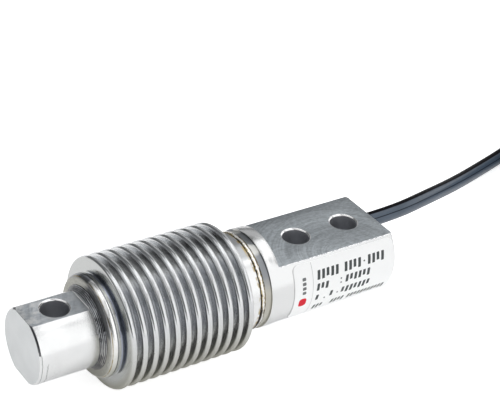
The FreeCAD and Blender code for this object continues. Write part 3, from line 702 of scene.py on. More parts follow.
@dataclass(frozen=True)
class GlossyJacket(Moulded):
    """Smooth jacket with a painted dark reflection along its upper edge and along a line on its
    side.
    """

    dark_reflection_way: Triple = (-0.09, 0.574, 0.814)
    black: Triple = (0.004, 0.004, 0.006)

    def paint(self, coat: Coating) -> None:
        """Paint a dark reflection where the surface faces the upper edge, and along one line."""
        super().paint(coat)
        normal = coat.add("ShaderNodeTexCoord").outputs["Normal"]
        turned = coat.vector("DOT_PRODUCT", normal, self.dark_reflection_way).outputs["Value"]
        line = coat.ramp(coat.math("ABSOLUTE", coat.plus(turned, 0.02)), 0.10, 0.04, 0.0, 0.75)
        dark = coat.math("MAXIMUM", coat.ramp(turned, 0.60, 0.70), line)
        coat.lay(dark, self.black)
        coat.shine(Specular_IOR_Level=coat.ramp(dark, 0.0, 1.0, 0.5, 0.02),
                   Coat_Weight=coat.ramp(dark, 0.0, 1.0, self.gloss, 0.0))


@dataclass(frozen=True)
class FloorWhite(Finish):
    """Plain white floor that glows a little, more so where the camera sees it."""

    def paint(self, coat: Coating) -> None:
        """Set the floor's glow."""
        seen = coat.add("ShaderNodeLightPath").outputs["Is Camera Ray"]
        coat.shine(Specular_IOR_Level=0.1, Emission_Color=WHITE,
                   Emission_Strength=coat.ramp(seen, 0.0, 1.0, 0.29, 0.76))


FINISHES = (
    TurnedSteel("turned_steel", (0.82, 0.825, 0.825), low=0.18, high=0.32, darkest=0.92),
    MachinedSteel("faced_steel", (0.76, 0.775, 0.78), stretch=(40.0, 900.0, 900.0), low=0.42,
                  high=0.55, depth=0.003, darkest=0.94),
    MilledSteel("milled_load_flat", (0.64, 0.68, 0.72), worn=1.0, darkest=0.7,
                end_highlight_x=along(18.22)),
    MilledSteel("milled_mount_flat", (0.54, 0.58, 0.61), darkest=0.6,
                cutter=(along(100.0), -14.0 * MM), arc_scale=1700.0),
    MachinedSteel("drilled_steel", (0.58, 0.59, 0.62), stretch=(60.0, 60.0, 5000.0), low=0.35,
                  high=0.55, depth=0.01),
    BrightGrainSteel("burr_steel", (0.42, 0.43, 0.45)),
    # All white and not metallic: a painted highlight on the load flat's shoulder step.
    BrightGrainSteel("lip_painted_highlight", (0.98, 0.98, 0.98), bright=WHITE, metallic=0.0),
    MachinedSteel("rim_steel", (0.95, 0.95, 0.95), low=0.12, high=0.25, darkest=0.95),
    PaintedReflectionSteel("weld_band_painted_reflection"),
    # Dark chamfer: a painted dark reflection along the load face's edge.
    MachinedSteel("chamfer_painted_dark_reflection", (0.16, 0.16, 0.17), low=0.25, high=0.35),
    RingSteel("ring_steel", (0.90, 0.90, 0.89)),
    BellowsSteel("bellows_steel", (0.83, 0.84, 0.85)),
    FilletSteel("front_weld_steel"),
    BeadSteel("rear_weld_steel", (0.84, 0.83, 0.81)),
    MachinedSteel("gland_steel", (0.72, 0.72, 0.71)),
    Moulded("label_white", (0.96, 0.965, 0.965), 0.42, darkest=0.99, depth=0.001),
    Moulded("label_ink", (0.045, 0.055, 0.055)),
    Moulded("label_line", (0.50, 0.51, 0.51)),
    Moulded("label_grey", (0.16, 0.17, 0.17)),
    Moulded("label_red", (0.74, 0.0, 0.02), 0.7),
    GlossyJacket("cable_jacket", (0.055, 0.08, 0.115), 0.4, gloss=0.12, grain=900.0,
                 depth=0.006),
    Moulded("tie_nylon", (0.03, 0.03, 0.03), 0.45),
    Moulded("sleeve_shrink", (0.02, 0.02, 0.02), 0.55, grain=700.0, depth=0.03),
    Moulded("seal_rubber", (0.03, 0.03, 0.03), 0.7),
    Moulded("potting_resin", (0.06, 0.045, 0.03), 0.2),
    Moulded("gauge_film", (0.45, 0.22, 0.05), 0.3),
    MachinedSteel("tinned_copper", (0.72, 0.68, 0.60), stretch=(900.0, 900.0, 900.0)),
    Moulded("board_laminate", (0.02, 0.14, 0.05), 0.4),
    Moulded("resistor_body", (0.02, 0.02, 0.025), 0.35),
    MachinedSteel("lead_copper", (0.70, 0.40, 0.24), stretch=(900.0, 900.0, 900.0)),
    Moulded("core_red", (0.45, 0.01, 0.01), 0.35),
    Moulded("core_black", (0.012, 0.012, 0.012), 0.35),
    Moulded("core_green", (0.01, 0.17, 0.04), 0.35),
    Moulded("core_white", (0.75, 0.75, 0.72), 0.35),
    Moulded("core_insulation", (0.40, 0.40, 0.38), 0.4),
    FloorWhite("floor_white", (0.90, 0.90, 0.90), 0.9),
)


# the beam
class Region(Enum):
    """Finishes of the beam's faces, in the order of its material slots."""

    TURNED = "turned_steel"
    FACED = "faced_steel"
    LOAD_FLAT = "milled_load_flat"
    MOUNT_FLAT = "milled_mount_flat"
    BORE = "drilled_steel"
    BAND = "weld_band_painted_reflection"
    EDGE = "chamfer_painted_dark_reflection"
    RIM = "rim_steel"
    BURR = "burr_steel"
    LIP_HIGHLIGHT = "lip_painted_highlight"


@dataclass
class Beam:
    """The turned and milled spring element, dressed from a copy of its CAD node."""

    edge_width: float = 0.17 * MM
    holes: Triple = (10.0, 92.0, 110.0)
    hole_reach: float = 4.6 * MM
    shoulder: float = 18.45

    def build(self, cad: bpy.types.Object, materials: Materials) -> None:
        """Copy the CAD mesh, soften its edges and give each machined region its finish.

        Args:
            cad: the CAD node.
            materials: the shared materials.
        """
        mesh = cad.data.copy()
        mesh.name = "beam_body_dressed"
        work = bmesh.new()
        work.from_mesh(mesh)
        bmesh.ops.remove_doubles(work, verts=work.verts, dist=1e-6)
        bmesh.ops.dissolve_limit(work, angle_limit=math.radians(0.4), verts=work.verts,
                                 edges=work.edges)
        work.to_mesh(mesh)
        work.free()
        beam = new_object("beam_dressed", mesh)
        bevel = beam.modifiers.new("edges", "BEVEL")
        bevel.width = self.edge_width
        bevel.segments = 2
        bevel.limit_method = "ANGLE"
        bevel.angle_limit = math.radians(28)
        bevel.use_clamp_overlap = True
        plain = apply_modifiers(beam)
        smooth_by_angle(plain, 24.0)
        regions = list(Region)
        plain.materials.clear()
        for region in regions:
            plain.materials.append(materials[region.value])
        for polygon in plain.polygons:
            polygon.material_index = regions.index(self.region(polygon.center, polygon.normal))
        dress(beam, ["beam_body"])

    def region(self, centre: Vector, normal: Vector) -> Region:
        """The finish of a face, from its place and normal."""
        height = centre.z - AXIS_Z
        if abs(normal.x) > 0.9 and (centre.x < along(0.6) or centre.x > along(119.4)):
            return Region.FACED
        # The load face's chamfer, on top and on the near side, takes the painted dark reflection.
        on_edge = centre.z > AXIS_Z + 9.0 * MM or (centre.y < 0 and centre.z > AXIS_Z + 4.0 * MM)
        if centre.x < along(0.52) and on_edge:
            return Region.EDGE
        if abs(normal.z) > 0.98 and abs(abs(height) - FLAT_HEIGHT) < 0.05 * MM:
            return Region.LOAD_FLAT if centre.x < along(40) else Region.MOUNT_FLAT
        near_side = centre.x > along(77.9) and centre.y < -10.0 * MM
        if 0.2 < normal.z < 0.98 and near_side and centre.z > AXIS_Z + FLAT_HEIGHT - 0.25 * MM:
            return Region.BURR
        if any(math.hypot(centre.x - along(hole), centre.y) < self.hole_reach
               for hole in self.holes):
            return Region.RIM if abs(normal.z) > 0.3 else Region.BORE
        # Steps of the load flat's shoulder take the painted highlight; the rest of the shoulder is
        # rim steel.
        if abs(normal.x) > 0.3 and abs(centre.x - along(self.shoulder)) < 0.2 * MM:
            in_flat = abs(normal.z) > 0.3 and abs(height) < 10.3 * MM
            return Region.LIP_HIGHLIGHT if in_flat else Region.RIM
        if along(70.0) < centre.x < along(73.95) and math.hypot(centre.y, height) < 15.2 * MM:
            return Region.BAND
        return Region.TURNED


# bellows and its ends
@dataclass
class Bellows:
    """The folded skin, by geometry nodes: one fold's line, repeated and turned."""

    folds: int = 12
    pitch: float = 3.54 * MM
    first_crest: float = along(25.03)
    crest_bend: float = 0.9 * MM
    wall: float = 0.25 * MM
    around: int = 120

    def build(self, material: bpy.types.Material) -> None:
        """Make the bellows as one thin closed shell.

        Args:
            material: its finish.
        """
        values = {"Folds": self.folds, "Around": self.around, "Pitch": self.pitch,
                  "First Crest": self.first_crest, "Crest Radius": CREST_RADIUS,
                  "Root Radius": ROOT_RADIUS, "Crest Bend": self.crest_bend,
                  "Neck Radius": NECK_RADIUS, "Front Lip": FRONT_LIP_X, "Rear Lip": REAR_LIP_X}
        skin = new_object("bellows_skin", bpy.data.meshes.new("bellows_skin"))
        folds = skin.modifiers.new("folds", "NODES")
        folds.node_group = self.tree(material, values)
        for socket in folds.node_group.interface.items_tree:
            if socket.in_out == "INPUT" and socket.name in values:
                folds[socket.identifier] = values[socket.name]
        wall = skin.modifiers.new("wall", "SOLIDIFY")
        wall.thickness = self.wall
        wall.offset = -1.0
        smooth_by_angle(apply_modifiers(skin), 50.0)
        dress(skin, ["bellows"])

    def tree(self, material: bpy.types.Material, values: dict[str, float]) -> bpy.types.NodeTree:
        """The node tree that draws the skin.

        Args:
            material: the finish that the tree sets.
            values: the sockets that it needs, with whole numbers for counts.

        Returns:
            The tree.
        """
        group = bpy.data.node_groups.new("bellows_folds", "GeometryNodeTree")
        face = group.interface
        face.new_socket("Geometry", in_out="INPUT", socket_type="NodeSocketGeometry")
        for name, value in values.items():
            kind = "NodeSocketInt" if isinstance(value, int) else "NodeSocketFloat"
            face.new_socket(name, in_out="INPUT", socket_type=kind)
        face.new_socket("Geometry", in_out="OUTPUT", socket_type="NodeSocketGeometry")
        tree = Tree(group)
        given = tree.add("NodeGroupInput").outputs
        bend, first, pitch = given["Crest Bend"], given["First Crest"], given["Pitch"]
        half = tree.times(pitch, 0.5)
        root_bend = tree.minus(half, bend)
        root_top = tree.plus(given["Root Radius"], root_bend)
        shoulder = tree.minus(given["Crest Radius"], bend)

        def point(radial: object, axial: object) -> Socket:
            """A point of the line: X is the radius and Y runs along the axis."""
            return tree.add("ShaderNodeCombineXYZ", X=radial, Y=axial).outputs[0]

        def arc(radius: object, start: float, sweep: float, centre: Socket, steps: int) -> Socket:
            """An arc of the line, with its angles in degrees from the radial direction."""
            curve = tree.add("GeometryNodeCurveArc", Resolution=steps, Radius=radius,
                             Start_Angle=math.radians(start), Sweep_Angle=math.radians(sweep))
            return tree.add("GeometryNodeTransform", Geometry=curve.outputs[0],
                            Translation=centre).outputs[0]

        def run(start: Socket, end: Socket) -> Socket:
            """A straight stretch of the line."""
            return tree.add("GeometryNodeCurvePrimitiveLine", Start=start, End=end).outputs[0]

        def joined(parts: Iterable[Socket]) -> Socket:
            """Several pieces of geometry as one."""
            node = tree.add("GeometryNodeJoinGeometry")
            for part in parts:
                tree.feed(node.inputs[0], part)
            return node.outputs[0]

        minus_half = tree.times(half, -1.0)
        minus_bend = tree.times(bend, -1.0)
        fold = joined([
            arc(root_bend, 180.0, -90.0, point(root_top, minus_half), 7),
            run(point(root_top, minus_bend), point(shoulder, minus_bend)),
            arc(bend, -90.0, 180.0, point(shoulder, 0.0), 15),
            run(point(root_top, bend), point(shoulder, bend)),
            arc(root_bend, 180.0, 90.0, point(root_top, half), 7),
        ])
        places = tree.add("GeometryNodeMeshLine", {"mode": "OFFSET"}, Count=given["Folds"],
                          Start_Location=point(0.0, first), Offset=point(0.0, pitch))
        copies = tree.add("GeometryNodeInstanceOnPoints", Points=places.outputs[0], Instance=fold)
        line = tree.add("GeometryNodeRealizeInstances", Geometry=copies.outputs[0])
        front_root = tree.minus(first, half)
        rear_root = tree.plus(tree.plus(first, minus_half), tree.times(pitch, given["Folds"]))
        necks = []
        for root, lip, way in ((front_root, given["Front Lip"], -1.0),
                               (rear_root, given["Rear Lip"], 1.0)):
            seat = point(given["Neck Radius"], tree.plus(root, 0.25 * MM * way))
            necks += [run(point(given["Root Radius"], root), seat),
                      run(seat, point(given["Neck Radius"], lip))]
        edges = tree.add("GeometryNodeCurveToMesh", Curve=joined([line.outputs[0], *necks]))
        chain = tree.add("GeometryNodeMergeByDistance", Geometry=edges.outputs[0],
                         Distance=0.002 * MM)
        section = tree.add("GeometryNodeMeshToCurve", Mesh=chain.outputs[0])
        circle = tree.add("GeometryNodeCurvePrimitiveCircle", Radius=1.0 * MM,
                          Resolution=given["Around"])
        inward = tree.add("GeometryNodeTransform", Geometry=section.outputs[0],
                          Translation=(-1.0 * MM, 0.0, 0.0))
        turned = tree.add("GeometryNodeCurveToMesh", Curve=circle.outputs[0],
                          Profile_Curve=inward.outputs[0])
        laid = tree.add("GeometryNodeTransform", Geometry=turned.outputs[0],
                        Translation=(0.0, 0.0, AXIS_Z), Rotation=(0.0, -math.pi / 2, 0.0))
        merged = tree.add("GeometryNodeMergeByDistance", Geometry=laid.outputs[0],
                          Distance=0.001 * MM)
        outward = tree.add("GeometryNodeFlipFaces", Mesh=merged.outputs[0])
        realized = tree.add("GeometryNodeRealizeInstances", Geometry=outward.outputs[0])
        painted = tree.add("GeometryNodeSetMaterial", Geometry=realized.outputs[0],
                           Material=material)
        tree.add("NodeGroupOutput", i0=painted.outputs[0])
        return group


def arc_points(centre: Pair, radius: float, start: float, sweep: float,
               steps: int) -> list[Pair]:
    """Points of an arc.

    Args:
        centre: centre of the arc.
        radius: radius of the arc.
        start: angle of its first point in degrees, 0 along the first axis.
        sweep: angle it turns through in degrees.
        steps: number of straight pieces.

    Returns:
        The points, one more than the steps.
    """
    turns = [math.radians(start + sweep * n / steps) for n in range(steps + 1)]
    return [(centre[0] + radius * math.cos(turn), centre[1] + radius * math.sin(turn))
            for turn in turns]


@dataclass
class Turned:
    """A ring turned about the beam's axis, in place of one CAD node."""

    mesh_name: str
    name: str
    slot: Slot
    node: str
    around: int = 160
    sharp: float = 32.0

    def profile(self) -> list[Pair]:
        """The (x, radius) points of the ring's whole section."""
        raise NotImplementedError

    def ripple(self, x: float, radius: float, angle: float) -> float:
        """Radial change at a point of the profile and an angle round the axis."""
        return 0.0

    def build(self, material: bpy.types.Material) -> None:
        """Turn the profile and dress the piece.

        Args:
            material: its finish.
        """
        profile = self.profile()
        count = len(profile)
        points: list[Triple] = []
        faces: list[tuple[int, ...]] = []
        for turn in range(self.around):
            angle = 2 * math.pi * turn / self.around
            here, after = turn * count, (turn + 1) % self.around * count
            for n, (x, radius) in enumerate(profile):
                reach = radius + self.ripple(x, radius, angle)
                points.append((x, reach * math.cos(angle), AXIS_Z + reach * math.sin(angle)))
                following = (n + 1) % count
                faces.append((here + n, here + following, after + following, after + n))
        mesh = bpy.data.meshes.new(self.mesh_name)
        mesh.from_pydata(points, [], faces)
        work = bmesh.new()
        work.from_mesh(mesh)
        bmesh.ops.remove_doubles(work, verts=work.verts, dist=1e-7)
        bmesh.ops.recalc_face_normals(work, faces=work.faces)
        work.to_mesh(mesh)
        work.free()
        mesh.materials.append(material)
        smooth_by_angle(mesh, self.sharp)
        dress(new_object(self.name, mesh), [self.node])


@dataclass
class EndRing(Turned):
    """The turned ring at the load end, with its rounded shoulder."""

    mesh_name: str = "end_ring_turned"
    name: str = "ring_turned"
    slot: Slot = Slot.RING
    node: str = "end_ring"
    rounding: float = 1.8 * MM
    step_x: float = along(22.5)
    inner_x: float = along(24.2)
    inner_radius: float = 14.0 * MM

    def profile(self) -> list[Pair]:
        """Bore, rounded shoulder, the bellows' seat and the step inside the bellows."""
        face, seat = along(RING_FACE), NECK_RADIUS - 0.27 * MM
        corner = (face + self.rounding, NECK_RADIUS - self.rounding)
        return [(face, SEAT_RADIUS), *arc_points(corner, self.rounding, 180.0, -90.0, 14),
                (FRONT_LIP_X, seat), (self.step_x, seat), (self.step_x, self.inner_radius),
                (self.inner_x, self.inner_radius), (self.inner_x, SEAT_RADIUS)]


@dataclass
class Weld(Turned):
    """A weld bead between two places, given in millimetres from the load face."""

    sharp: float = 60.0
    start: float = 0.0
    end: float = 0.0
    inner: float = 0.0
    steps: int = 16

    def height(self, share: float) -> float:
        """Radius of the bead's face at a share of its length."""
        raise NotImplementedError

    def profile(self) -> list[Pair]:
        """The bead's face between two points at its inner radius."""
        shares = [n / self.steps for n in range(self.steps + 1)]
        return [(along(self.start), self.inner),
                *((along(self.start + (self.end - self.start) * share), self.height(share))
                  for share in shares),
                (along(self.end), self.inner)]


@dataclass
class FrontWeld(Weld):
    """Rippled fillet between the load end and the end ring, with one crater."""

    mesh_name: str = "front_weld_bead"
    name: str = "front_weld_bead"
    slot: Slot = Slot.FRONT_WELD
    node: str = "front_weld"
    around: int = 300
    start: float = 18.47
    end: float = RING_FACE
    inner: float = SEAT_RADIUS
    steps: int = 22
    low: float = 11.3 * MM
    rise: float = 1.3 * MM
    crater_angle: float = 152.0

    def height(self, share: float) -> float:
        """A fillet that steepens towards the ring, with the pool's steps."""
        bump = 0.10 * MM * math.sin(share * math.pi * 7.0) * (1 - 0.4 * share)
        return self.low + self.rise * share ** 1.6 + bump

    def ripple(self, x: float, radius: float, angle: float) -> float:
        """Small uneven steps of the weld pool, and the crater where it ended."""
        if radius < self.low - 0.05 * MM:
            return 0.0
        pool = 0.02 * MM * math.sin(angle * 31 + 2.0 * math.sin(angle * 5) + x / MM * 3.1)
        drift = 0.06 * MM * math.sin(angle * 7 + 1.3)
        away = abs((math.degrees(angle) - self.crater_angle + 180) % 360 - 180)
        crater = 0.3 * MM * math.exp(-(away / 4.0) ** 2)
        return pool + drift + crater


@dataclass
class RearWeld(Weld):
    """Shiny bead between the bellows' rear neck and the block."""

    mesh_name: str = "rear_weld_bead"
    name: str = "rear_weld_bead"
    slot: Slot = Slot.REAR_WELD
    node: str = "rear_weld"
    around: int = 360
    start: float = 69.74
    end: float = 71.87
    inner: float = 14.92 * MM
    crown: float = 15.42 * MM

    def height(self, share: float) -> float:
        """A flat crown that falls off at both sides."""
        crown = math.sin(math.pi * share) ** 0.6
        return self.inner + 0.08 * MM + (self.crown - self.inner - 0.08 * MM) * crown

    def ripple(self, x: float, radius: float, angle: float) -> float:
        """Fine crescents of the weld pool."""
        if radius < self.inner + 0.05 * MM:
            return 0.0
        return 0.02 * MM * math.sin(angle * 90 + x / MM * 2.4) - 0.02 * MM


# label
@dataclass
class Label:
    """The thin label on the block's near side and its plain printed blocks.

    Places on it are millimetres from the load face, and degrees above the side line.
    """

    start: float = 81.8
    end: float = 119.2
    top: float = 36.9
    bottom: float = -38.4
    radius: float = 15.5 * MM
    thick: float = 0.15 * MM
    corner: float = 2.0
    slice: float = 0.5
    inks: tuple[str, ...] = ("label_ink", "label_grey", "label_red", "label_line")

    def patch(self, name: str, outline: Sequence[Pair], inner: float,
              outer: float) -> bpy.types.Mesh:
        """A thin curved patch with a flat outline wrapped on the block.

        Args:
            name: the mesh's name.
            outline: (distance, arc) points in millimetres, arc measured from the side line.
            inner: radius of its under side.
            outer: radius of its face.

        Returns:
            The closed patch.
        """
        work = bmesh.new()
        work.faces.new([work.verts.new((u, v, 0.0)) for u, v in outline])
        cut = math.floor(min(v for _, v in outline) / self.slice) * self.slice + self.slice
        high = max(v for _, v in outline)
        while cut < high:
            bmesh.ops.bisect_plane(work, geom=work.verts[:] + work.edges[:] + work.faces[:],
                                   plane_co=(0, cut, 0), plane_no=(0, 1, 0))
            cut += self.slice
        made = bmesh.ops.extrude_face_region(work, geom=work.faces[:])
        for vert in (g for g in made["geom"] if isinstance(g, bmesh.types.BMVert)):
            vert.co.z = 1.0
        for vert in work.verts:
            reach = inner if vert.co.z < 0.5 else outer
            angle = vert.co.y * MM / self.radius
            vert.co = Vector((along(vert.co.x), -reach * math.cos(angle),
                              AXIS_Z + reach * math.sin(angle)))
        bmesh.ops.recalc_face_normals(work, faces=work.faces)
        mesh = bpy.data.meshes.new(name)
        work.to_mesh(mesh)
        work.free()
        return mesh

    @staticmethod
    def rounded(u0: float, v0: float, u1: float, v1: float, radius: float,
                slant: float = 0.0) -> list[Pair]:
        """A rounded rectangle that may lean.

        Args:
            u0: lowest distance.
            v0: lowest arc.
            u1: highest distance.
            v1: highest arc.
            radius: corner radius.
            slant: shift in distance for each unit of arc.

        Returns:
            The outline's points.
        """
        corners = ((u1 - radius, v1 - radius, 0), (u0 + radius, v1 - radius, 90),
                   (u0 + radius, v0 + radius, 180), (u1 - radius, v0 + radius, 270))
        return [(u + slant * (v - v0), v) for cu, cv, start in corners
                for u, v in arc_points((cu, cv), radius, start, 90, 5)]

    def sheet(self) -> list[Pair]:
        """The label's own outline."""
        low, high = (math.radians(a) * self.radius / MM for a in (self.bottom, self.top))
        return self.rounded(self.start, low, self.end, high, self.corner)

    def print_blocks(self) -> list[tuple[str, list[Pair]]]:
        """Outlines of the printed strokes with the finish that each takes.

        Returns:
            Pairs of finish name and outline.
        """
        ink, grey, red, line = self.inks
        blocks: list[tuple[str, list[Pair]]] = []
        rows = ((3.75, 2.95, 1.7, ((90.1, 5), (100.2, 4), (109.0, 4))),
                (0.15, 2.35, 1.62, ((89.9, 3), (100.6, 6))),
                (-3.95, 2.45, 1.6, ((89.9, 1), (95.2, 1), (99.5, 7))),
                (-8.1, 2.2, 1.3, ((90.1, 3), (96.9, 4), (103.2, 11))))
        for row, (level, height, cell, words) in enumerate(rows):
            for begin, letters in words:
                for n in range(letters):
                    left = begin + cell * n
                    low = level + (0.5 if (n + row) % 3 == 2 else 0.0)
                    blocks.append((ink, self.rounded(left, low, left + cell * 0.6,
                                                     level + height, 0.16, 0.12)))
        for left, level in ((107.5, 5.0), (98.7, 0.3), (98.7, 1.7), (93.2, -3.8), (97.9, -3.2)):
            blocks.append((ink, self.rounded(left, level, left + 0.55, level + 0.5, 0.2)))
        for n in range(4):
            blocks.append((grey, self.rounded(84.75, 0.2 + 1.5 * n, 86.05, 1.2 + 1.5 * n, 0.25)))
        blocks.append((red, self.rounded(83.8, -4.2, 86.5, -1.2, 0.9)))
        sheet = self.sheet()
        low, high = min(v for _, v in sheet), max(v for _, v in sheet)
        blocks.append((line, self.rounded(88.5, low + 0.2, 88.62, high - 0.3, 0.05)))
        edge = [(u, v) for u, v in sheet if u < self.start + self.corner + 0.01]
        blocks.append((line, edge + [(u + 0.14, v) for u, v in reversed(edge)]))
        return blocks

    def build(self, materials: Materials) -> None:
        """Make the label and its print.

        Args:
            materials: the shared materials.
        """
        face = self.radius + self.thick
        mesh = self.patch("label_sheet", self.sheet(), self.radius + 0.005 * MM, face)
        mesh.materials.append(materials["label_white"])
        smooth_by_angle(mesh)
        dress(new_object("label_sheet", mesh), ["rating_label"])

        work = bmesh.new()
        for ink, outline in self.print_blocks():
            part = self.patch("print_block", outline, face - 0.02 * MM, face + 0.012 * MM)
            first = len(work.faces)
            work.from_mesh(part)
            work.faces.ensure_lookup_table()
            for printed in work.faces[first:]:
                printed.material_index = self.inks.index(ink)
            bpy.data.meshes.remove(part)
        mesh = bpy.data.meshes.new("label_print")
        work.to_mesh(mesh)
        work.free()
        for ink in self.inks:
            mesh.materials.append(materials[ink])
        dress(new_object("label_print", mesh))


# cable
@dataclass
class Cable:
    """The free cable: seen stretch, tied coil and tail, as one smooth line."""

    diameter: float = 5.0 * MM
    exit: Triple = (24.0, 9.5, 10.0)
    route: tuple[Triple, ...] = (
        (24.0, 9.5, 10.0), (38.0, 9.5, 10.0), (58.0, 16.8, 6.3), (80.0, 27.3, -0.2),
        (104.0, 38.9, -5.9), (124.0, 46.0, -7.35), (142.5, 53.9, -6.65))
    centre: Pair = (156.0, 20.0)
    columns: int = 4
    outer: float = 36.5
    spacing: float = 5.0
    bottom: float = -6.65
    steps: int = 14
    tail: tuple[Pair, ...] = (
        (36.5, 8.35), (41.3, 7.4), (44.0, 2.8), (44.3, -2.0), (43.8, -6.85))
    tail_angle: float = 62.0
    tail_step: float = 24.0
    length: float = 3.0

    def around(self, radius: float, angle: float, height: float) -> Vector:
        """A point round the coil's centre, in millimetres, by its angle in degrees."""
        turn = math.radians(angle)
        return Vector((self.centre[0] + radius * math.cos(turn),
                       self.centre[1] + radius * math.sin(turn), height))

    def coil(self, start_angle: float) -> list[Vector]:
        """Points of the coil's turns, wound clockwise from above, layer on layer.

        Args:
            start_angle: angle at which the cable meets the coil.

        Returns:
            The points, in millimetres.
        """
        points = []
        turns = self.columns * self.columns
        last = turns * 360.0 - (start_angle - self.tail_angle) % 360.0
        step = 360.0 / self.steps
        turned = step
        while turned < last - step * 0.6:
            turn, part = divmod(turned, 360.0)
            layer, column = divmod(int(turn), self.columns)
            zone = 360.0 - 60.0 * layer
            level = layer
            place = float(column)
            if column < self.columns - 1:
                place += min(max((part - (zone - 30.0)) / 30.0, 0.0), 1.0)
            elif layer < self.columns - 1:
                level += min(max((part - (zone - 60.0)) / 30.0, 0.0), 1.0)
            if layer % 2:
                place = self.columns - 1 - place
            points.append(self.around(self.outer - self.spacing * place, start_angle - turned,
                                      self.bottom + self.spacing * level))
            turned += step
        return points

    def tail_points(self) -> list[Vector]:
        """Points of the free end after the coil, in millimetres, the last at the cut end."""
        points = [self.around(radius, self.tail_angle - self.tail_step * n, height)
                  for n, (radius, height) in enumerate(self.tail)]
        heading = points[-1] - points[-2]
        heading.z = 0.0
        heading.normalize()
        points.append(points[-1] + Vector((0, 0, 1)).cross(heading) * 3.0 + heading * 15.0)
        return points

    def build(self, material: bpy.types.Material, on_it: Sequence[str]) -> None:
        """Args:
            material: its finish.
            on_it: names of the pieces that lie on the cable; not used.
        """
        route = [Vector(p) for p in self.route]
        meet = route[-1]
        angle = math.degrees(math.atan2(meet.y - self.centre[1], meet.x - self.centre[0]))
        points = route + self.coil(angle) + self.tail_points()
        data = bpy.data.curves.new("cable_line", "CURVE")
        data.dimensions = "3D"
        data.bevel_depth = self.diameter / 2
        data.bevel_resolution = 6
        data.resolution_u = 5
        data.use_fill_caps = True
        line = data.splines.new("NURBS")
        line.points.add(len(points) - 1)
        for control, point in zip(line.points, points):
            control.co = (*(point * MM), 1.0)
        line.order_u = 3
        line.use_endpoint_u = True
        data.materials.append(material)
        cable = new_object("cable_line", data)
        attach(cable, BODY)
        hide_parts("cable", "cable_coil", "cable_tail")
        LOG.info("cable has %d points", len(points))


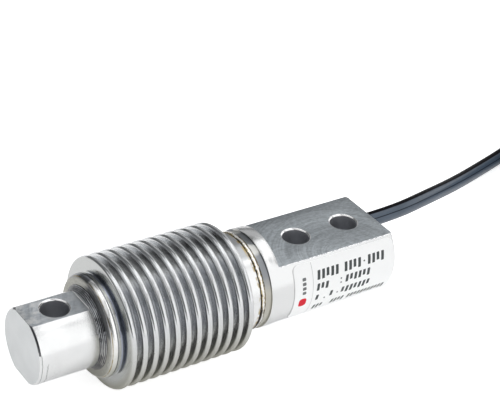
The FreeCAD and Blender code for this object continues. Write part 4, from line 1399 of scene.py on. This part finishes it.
# stage
@dataclass
class Studio:
    """Floor, lights and camera."""

    eye: Triple = (-0.26612, -0.32390, 0.28425)
    azimuth: float = -36.405
    elevation: float = 31.616
    roll: float = 5.443
    lens: float = 116.44
    floor_half: float = 6.0
    boxes: tuple[tuple[str, Triple, float, Pair, float], ...] = (
        ("front_box", (0.293, -0.895, 0.335), 3.2, (4.8, 3.9), 1.12),
        ("fill_box", (0.24, -0.45, 0.84), 3.2, (1.15, 1.15), 1.1),
        ("crown_box", (-0.13, 0.08, 0.99), 3.0, (1.25, 1.3), 1.1),
        ("right_box", (0.97, 0.05, 0.22), 3.6, (3.0, 2.2), 1.2),
        ("top_box", (0.505, 0.02, 0.862), 3.0, (2.5, 2.35), 1.3),
        ("left_box", (-0.50, -0.045, 0.86), 3.2, (4.1, 3.0), 0.62),
        ("back_box", (0.5, 0.75, 0.55), 4.4, (4.4, 2.8), 0.38))

    def floor(self, material: bpy.types.Material) -> None:
        """A plain white floor under the bellows."""
        mesh = bpy.data.meshes.new("floor")
        half = self.floor_half
        corners = ((-half, -half), (half, -half), (half, half), (-half, half))
        mesh.from_pydata([(x, y, FLOOR_Z) for x, y in corners], [], [(0, 1, 2, 3)])
        mesh.materials.append(material)
        new_object("floor", mesh)

    def lights(self) -> None:
        """Rectangular lights that face the object, and a dim room.

        Each box has its name, the direction to it, its distance, its width and height, and how
        bright its face looks.
        """
        for name, toward, distance, size, glow in self.boxes:
            data = bpy.data.lights.new(name, "AREA")
            data.shape = "RECTANGLE"
            data.size, data.size_y = size
            data.energy = glow * math.pi * size[0] * size[1]
            lamp = new_object(name, data)
            aim = Vector(toward).normalized()
            lamp.location = Vector((0.0, 0.0, AXIS_Z)) + aim * distance
            lamp.rotation_euler = aim.to_track_quat("Z", "Y").to_euler()
        world = bpy.data.worlds.new("room")
        world.use_nodes = True
        background = world.node_tree.nodes["Background"].inputs
        background["Color"].default_value = (0.95, 0.98, 1.0, 1.0)
        background["Strength"].default_value = 0.16
        bpy.context.scene.world = world
        bpy.context.scene.view_settings.view_transform = "Standard"

    def camera(self) -> None:
        """The camera at the photograph's place and angle."""
        data = bpy.data.cameras.new("photo_camera")
        data.lens = self.lens
        data.sensor_width = 36.0
        data.sensor_fit = "HORIZONTAL"
        data.clip_start = 0.01
        azimuth, elevation = math.radians(self.azimuth), math.radians(self.elevation)
        back = Vector((math.sin(azimuth) * math.cos(elevation),
                       -math.cos(azimuth) * math.cos(elevation), math.sin(elevation)))
        right = (-back).cross(Vector((0, 0, 1))).normalized()
        up = right.cross(-back)
        roll = math.radians(self.roll)
        side = right * math.cos(roll) + up * math.sin(roll)
        above = up * math.cos(roll) - right * math.sin(roll)
        eye = new_object("photo_camera", data)
        turn = Matrix((side, above, back)).transposed().to_4x4()
        eye.matrix_world = Matrix.Translation(Vector(self.eye)) @ turn
        bpy.context.scene.camera = eye


CAD_FINISHES = {
    "gland_body": "gland_steel", "gland_nut": "gland_steel", "gland_seal": "seal_rubber",
    "cable_entry": "cable_jacket", "potting_plug": "potting_resin",
    "solder_terminals": "tinned_copper", "trim_board": "board_laminate",
    "trim_resistors": "resistor_body", "gauge_leads": "lead_copper", "coil_ties": "tie_nylon",
    "end_sleeve": "sleeve_shrink", "shield_wire": "tinned_copper", "core_red": "core_red",
    "core_black": "core_black", "core_green": "core_green", "core_white": "core_white",
    "inner_cores": "core_insulation",
}


def dress_cad_nodes(nodes: dict[str, bpy.types.Object], materials: Materials) -> None:
    """Give the CAD nodes that stay in view their finishes.

    Args:
        nodes: CAD objects by name.
        materials: the shared materials.
    """
    gauges = {name: "gauge_film" for name in nodes if name.startswith("strain_gauge")}
    for name, finish in {**CAD_FINISHES, **gauges}.items():
        for slot in nodes[name].material_slots:
            slot.material = materials[finish]


def main() -> None:
    """Load the frame, build each piece in order and set up the studio."""
    logging.basicConfig(level=logging.INFO, format="%(name)s: %(message)s")
    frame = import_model()
    nodes = frame["nodes"]
    marks = ToolMarks()
    materials = {finish.name: finish.make(marks) for finish in FINISHES}
    dress_cad_nodes(nodes, materials)
    studio = Studio()
    studio.floor(materials["floor_white"])
    studio.lights()
    studio.camera()
    Cable().build(materials["cable_jacket"],
                  ["coil_ties", "end_sleeve", "core_red", "core_black", "core_green",
                   "core_white", "shield_wire"])
    Beam().build(nodes["beam_body"], materials)
    EndRing().build(materials["ring_steel"])
    Bellows().build(materials["bellows_steel"])
    FrontWeld().build(materials["front_weld_steel"])
    RearWeld().build(materials["rear_weld_steel"])
    Label().build(materials)


if __name__ == "__main__":
    main()
